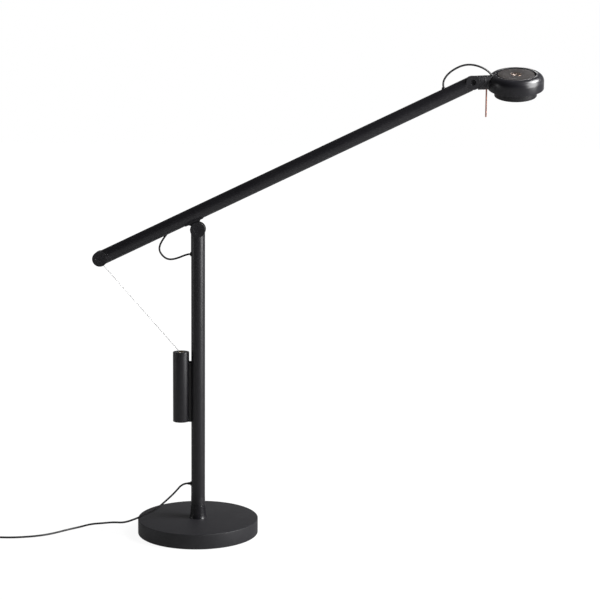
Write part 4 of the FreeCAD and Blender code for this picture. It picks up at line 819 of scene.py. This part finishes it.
class LAMP_OT_base(LampOperator, bpy.types.Operator):
    """Turn the base's cover, its rubber pad and the flared foot collar"""
    bl_idname = "lamp.base"
    bl_label = "Turn base"

    def make(self, lamp):
        size = lamp.base
        inner, under = size.radius - size.wall, size.height - size.wall
        cover = turned("base_shell", eased([
            (size.spigot_hole, size.height, 0), (size.radius, size.height, size.edge),
            (size.radius, size.rim_lift, 0.0003), (inner, size.rim_lift, 0.0003), (inner, under, 0.001),
            (size.spigot_hole, under, 0)]))
        stands_for(cover, "base", "base_black", "base_cover")
        grooves = []
        half, deep, ease = 0.0008, 0.0006, 0.0002
        for ring in (0.084, 0.060, 0.036):
            grooves += [(ring + half, 0, 0), (ring + half / 2, deep, ease),
                        (ring - half / 2, deep, ease), (ring - half, 0, 0)]
        pad = turned("base_pad_ribbed", eased(
            [(0, size.pad_height, 0), (size.pad_radius, size.pad_height, 0), (size.pad_radius, 0, 0.0004)]
            + grooves + [(0, 0, 0)], 3))
        stands_for(pad, "base", "pad_rubber", "base_pad")
        foot, top = Vector((size.foot_radius, size.height)), Vector((size.foot_top_radius, size.foot_top))
        drawn_in, waist_share, bevel, steps = 0.0005, 0.4, 0.0002, 14
        waist = Vector(((foot.x + top.x) / 2 - drawn_in, foot.y + waist_share * (top.y - foot.y)))
        bend = waist * 2 - (foot + top) / 2
        flare = [foot * (1 - t) ** 2 + bend * 2 * t * (1 - t) + top * t * t
                 for t in (i / steps for i in range(steps))]
        collar = turned("foot_flare", [Vector((size.spigot_hole, foot.y))] + flare
                        + [top - Vector((0, bevel)), top - Vector((bevel, 0)),
                           Vector((size.spigot_hole, top.y))])
        stands_for(collar, "base", "foot_black", "foot_collar")


class LAMP_OT_post_pieces(LampOperator, bpy.types.Operator):
    """Turn the post's swivel sleeve, the counterweight and the neck's swivel ring"""
    bl_idname = "lamp.post_pieces"
    bl_label = "Turn sleeve, weight and ring"

    def make(self, lamp):
        size = lamp.post
        middle = (size.sleeve_low + size.sleeve_high) / 2
        seam = groove(size.sleeve_radius, middle - 0.0045, middle - 0.0038, 0.0002)
        sleeve = turned("swivel_sleeve", eased(
            [(size.sleeve_bore, size.sleeve_low, 0), (size.sleeve_radius, size.sleeve_low, 0.0003)] + seam
            + [(size.sleeve_radius, size.sleeve_high, 0.0003), (size.sleeve_bore, size.sleeve_high, 0)]))
        stands_for(sleeve, "post", "joint_black", "post_sleeve")
        weight = turned("weight_cylinder", eased([
            (0, size.weight_low, 0), (size.weight_radius, size.weight_low, 0.0006),
            (size.weight_radius, size.weight_high, 0.0006), (size.socket_radius, size.weight_high, 0.0001),
            (size.socket_radius, size.weight_high - size.socket_depth, 0),
            (0, size.weight_high - size.socket_depth, 0)]), WEIGHT_AXIS)
        stands_for(weight, "weight", "weight_black", "counterweight")
        along_x = Matrix.Rotation(math.radians(90), 4, "Y")
        start, end = size.ring_start, size.ring_start + size.ring_width
        ring = turned("neck_ring", eased([
            (size.axle_radius, start, 0), (size.ring_radius, start, 0.0004),
            (size.ring_radius, end, 0.0004), (size.axle_radius, end, 0)]), NECK_FRAME @ along_x)
        stands_for(ring, "neck", "joint_black", "swivel_ring")


class LAMP_OT_head_shell(LampOperator, bpy.types.Operator):
    """Turn the head's housing with its rounded shoulder and the dial's well"""
    bl_idname = "lamp.head_shell"
    bl_label = "Turn head"

    def make(self, lamp):
        size = lamp.head
        wall, hub = size.wall, 0.0052
        low, under = -size.drop, size.well_floor - size.wall
        flat, turn = size.radius - size.shoulder, size.top - size.shoulder
        shell = turned("head_shell", eased(
            [(size.radius, low, 0.0004)] + quarter(flat, turn, size.shoulder)
            + [(size.well_radius, size.top, 0.0004), (size.well_radius, size.well_floor, 0.0003),
               (hub, size.well_floor, 0), (hub, under, 0), (size.well_radius + wall, under, 0),
               (size.well_radius + wall, size.top - wall, 0)]
            + quarter(flat, turn, size.shoulder - wall)[::-1] + [(size.radius - wall, low, 0)]), HEAD_CENTRE)
        stands_for(shell, "head", "head_black", "head_housing")


class LAMP_OT_dimmer(LampOperator, bpy.types.Operator):
    """Turn the dimmer's dial and its dished push button"""
    bl_idname = "lamp.dimmer"
    bl_label = "Turn dimmer"

    def make(self, lamp):
        size = lamp.head
        top, rim, well = size.dial_top, size.dial_radius, size.button_well_radius
        hub, bore, hub_low = 0.0049, 0.0018, 0.00095
        band, web = 0.002, 0.0015
        dial = turned("dimmer_disc", eased([
            (bore, hub_low, 0), (hub, hub_low, 0.0003), (hub, size.dial_low, 0),
            (well + band, size.dial_low, 0), (well + band, top - web, 0), (rim - band, top - web, 0),
            (rim - band, size.dial_low, 0), (rim, size.dial_low, 0.0003), (rim, top, 0.0006),
            (well, top, 0.0003), (well, size.button_well_floor, 0), (bore, size.button_well_floor, 0)]),
            HEAD_CENTRE)
        stands_for(dial, "dial", "dial_grey", "dimmer_dial")
        face, edge, rest = size.button_radius, size.button_top, size.button_low
        flat, steps = face - 0.0006, 14
        hollow = [Vector((flat * share, edge - size.dish * (1 - share ** 2)))
                  for share in (1 - i / steps for i in range(steps + 1))]
        stem, stem_low = 0.0015, 0.00165
        outline = eased([(0, stem_low, 0), (stem, stem_low, 0.0003), (stem, rest, 0), (face, rest, 0.0002),
                         (face, edge, 0.0003), (flat, edge, 0)])[:-1] + hollow
        button = turned("dimmer_push", outline, HEAD_CENTRE)
        stands_for(button, "button", "button_dark", "dimmer_button")


class LAMP_OT_lens(LampOperator, bpy.types.Operator):
    """Turn the ring below the housing and the diffuser that it holds"""
    bl_idname = "lamp.lens"
    bl_label = "Turn lens ring"

    def make(self, lamp):
        size = lamp.head
        inner, low = size.lens_radius - size.lens_wall, -size.lens_drop
        seam = groove(size.lens_radius, -size.drop - 0.0021, -size.drop - 0.0028, 0.00025)
        ring = turned("lens_holder", eased(
            [(inner, -size.drop, 0), (size.lens_radius, -size.drop, 0)] + seam
            + [(size.lens_radius, low, 0.0006), (inner - size.lip, low, 0.0002),
               (inner - size.lip, low + size.lip_height, 0), (inner, low + size.lip_height, 0)]),
            HEAD_CENTRE)
        stands_for(ring, "head", "plug_black", "lens_ring")
        edge, low = inner - 0.0001, low + size.lip_height
        high = low + size.diffuser_height
        reach, lift, count = 0.0275, 0.00012, 40
        waves = [Vector((reach * (count - i) / count, low + lift * (i % 2))) for i in range(count)]
        panel = turned("lens_panel", [Vector((0, high)), Vector((edge, high)), Vector((edge, low))]
                       + waves + [Vector((0, low))], HEAD_CENTRE)
        stands_for(panel, "head", "diffuser_white", "diffuser")


class LAMP_OT_finishes(LampOperator, bpy.types.Operator):
    """Give every piece the finish of its slot"""
    bl_idname = "lamp.finishes"
    bl_label = "Apply finishes"

    def make(self, lamp):
        for effect_maker in EFFECTS:
            effect_maker()
        slots = all_finishes()
        for part in frame["nodes"].values():
            for place in part.material_slots:
                place.material = slots[place.material.name.split(".")[0]]
        for piece in bpy.context.scene.objects:
            if "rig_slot" in piece and piece.type == "MESH":
                piece.data.materials.clear()
                piece.data.materials.append(slots[piece["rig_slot"]])


class LAMP_OT_studio(LampOperator, bpy.types.Operator):
    """Build the pale floor, the white surroundings and the soft lamps"""
    bl_idname = "lamp.studio"
    bl_label = "Build studio"

    def make(self, lamp):
        self.floor(lamp)
        self.surroundings(lamp.studio)
        for name, power, place, aim, size in (
                ("side_softbox", lamp.studio.key_power, (1.55, -0.55, 0.95), (0.1, 0, 0.35), (0.9, 1.5)),
                ("high_softbox", lamp.studio.high_power, (1.30, -0.05, 1.65), (0.35, 0, 0.5), (0.6, 0.6)),
                ("back_lamp", lamp.studio.back_power, (0.73, 1.2, 1.6), (0.53, 0, 0.73), (0.09, 0.09)),
                ("left_strip", lamp.studio.rim_power, (-1.5, -0.2, 0.7), (0, 0, 0.35), (0.3, 1.2))):
            self.softbox(name, power, place, aim, size)
        bpy.context.scene.view_settings.view_transform = "Standard"

    def floor(self, lamp):
        """Matt paper that catches the shadow, with a white glow that grows with the distance."""
        shape = bmesh.new()
        bmesh.ops.create_grid(shape, x_segments=8, y_segments=8, size=14)
        sheet = shown("studio_floor", shape)
        sheet.location.z = -0.0002
        made = bpy.data.materials.new("studio_floor")
        made.use_nodes = True
        tree = made.node_tree
        tree.nodes.clear()
        paper = node(tree, "BsdfDiffuse")
        paper.inputs["Color"].default_value = (*lamp.colours.floor, 1)
        seen = node(tree, "LightPath").outputs
        mirrored = maths(tree, "MAXIMUM", seen["Is Glossy Ray"], seen["Is Transmission Ray"])
        strength = spread(tree, mirrored, 0, 1, 1.05, lamp.studio.floor_shine)
        glow = node(tree, "Emission", [("Strength", strength)])
        away = node(tree, "VectorMath", operation="LENGTH")
        tree.links.new(own_place(tree), away.inputs[0])
        near, far = 0.7, 2.2
        share = spread(tree, away.outputs["Value"], near, far, 0.88, 1.0)
        shows = maths(tree, "MAXIMUM", seen["Is Camera Ray"], mirrored)
        mix = node(tree, "MixShader", [("Fac", maths(tree, "MULTIPLY", shows, share))])
        tree.links.new(paper.outputs[0], mix.inputs[1])
        tree.links.new(glow.outputs[0], mix.inputs[2])
        end = node(tree, "OutputMaterial")
        tree.links.new(mix.outputs[0], end.inputs["Surface"])
        sheet.data.materials.append(made)

    def surroundings(self, studio):
        """White to the camera and even light on matt surfaces; in gloss a pale back, dim above and left."""
        world = bpy.data.worlds.new("studio")
        bpy.context.scene.world = world
        world.use_nodes = True
        tree = world.node_tree
        tree.nodes.clear()
        way = node(tree, "SeparateXYZ", [("Vector", node(tree, "TexCoord").outputs["Generated"])])
        wall = spread(tree, way.outputs["Y"], -0.25, 0.55, studio.room_front, studio.room_back)
        ceiling = spread(tree, way.outputs["Z"], 0.10, 0.33, 1.0, 0.25)
        left = spread(tree, way.outputs["X"], -0.8, 0.3, 0.6, 1.0)
        wall = maths(tree, "MULTIPLY", wall, maths(tree, "MULTIPLY", ceiling, left))
        seen = node(tree, "LightPath").outputs
        glossy = maths(tree, "MAXIMUM", seen["Is Glossy Ray"], seen["Is Transmission Ray"])
        level = maths(tree, "ADD", maths(tree, "MULTIPLY", glossy, wall), maths(
            tree, "MULTIPLY", maths(tree, "SUBTRACT", 1.0, glossy), studio.sky))
        level = maths(tree, "MAXIMUM", level, seen["Is Camera Ray"])
        sky = node(tree, "Background", [("Strength", level)])
        sky.inputs["Color"].default_value = (1, 1, 1, 1)
        end = node(tree, "OutputWorld")
        tree.links.new(sky.outputs[0], end.inputs["Surface"])

    def softbox(self, name, power, place, aim, size):
        light = bpy.data.lights.new(name, "AREA")
        light.shape = "RECTANGLE"
        light.energy = power
        light.size, light.size_y = size
        holder = bpy.data.objects.new(name, light)
        bpy.context.scene.collection.objects.link(holder)
        holder.location = place
        holder.rotation_euler = (Vector(aim) - Vector(place)).to_track_quat("-Z", "Y").to_euler()
        holder.visible_camera = False


class LAMP_PT_desk_lamp(bpy.types.Panel):
    """Desk lamp tools and settings"""
    bl_label = "Desk lamp"
    bl_idname = "LAMP_PT_desk_lamp"
    bl_space_type = "VIEW_3D"
    bl_region_type = "UI"
    bl_category = "Desk lamp"

    def draw(self, context):
        for operator in OPERATORS:
            self.layout.operator(operator.bl_idname)
        lamp = context.scene.desk_lamp
        for name, group in SETTINGS:
            box = self.layout.box()
            box.label(text=group.__doc__)
            for key in group.__annotations__:
                box.prop(getattr(lamp, name), key)


OPERATORS = (LAMP_OT_camera, LAMP_OT_supply_lead, LAMP_OT_short_leads, LAMP_OT_base, LAMP_OT_post_pieces,
             LAMP_OT_head_shell, LAMP_OT_dimmer, LAMP_OT_lens, LAMP_OT_finishes, LAMP_OT_studio)
CLASSES = tuple(group for _, group in SETTINGS) + (DeskLamp,) + OPERATORS + (LAMP_PT_desk_lamp,)


def register():
    for cls in CLASSES:
        bpy.utils.register_class(cls)
    bpy.types.Scene.desk_lamp = PointerProperty(type=DeskLamp, name="Desk lamp",
                                                description="Settings of the desk lamp")


def unregister():
    del bpy.types.Scene.desk_lamp
    for cls in reversed(CLASSES):
        bpy.utils.unregister_class(cls)


def main():
    register()
    for operator in OPERATORS:
        group, name = operator.bl_idname.split(".")
        getattr(getattr(bpy.ops, group), name)()


if __name__ == "__main__":
    main()
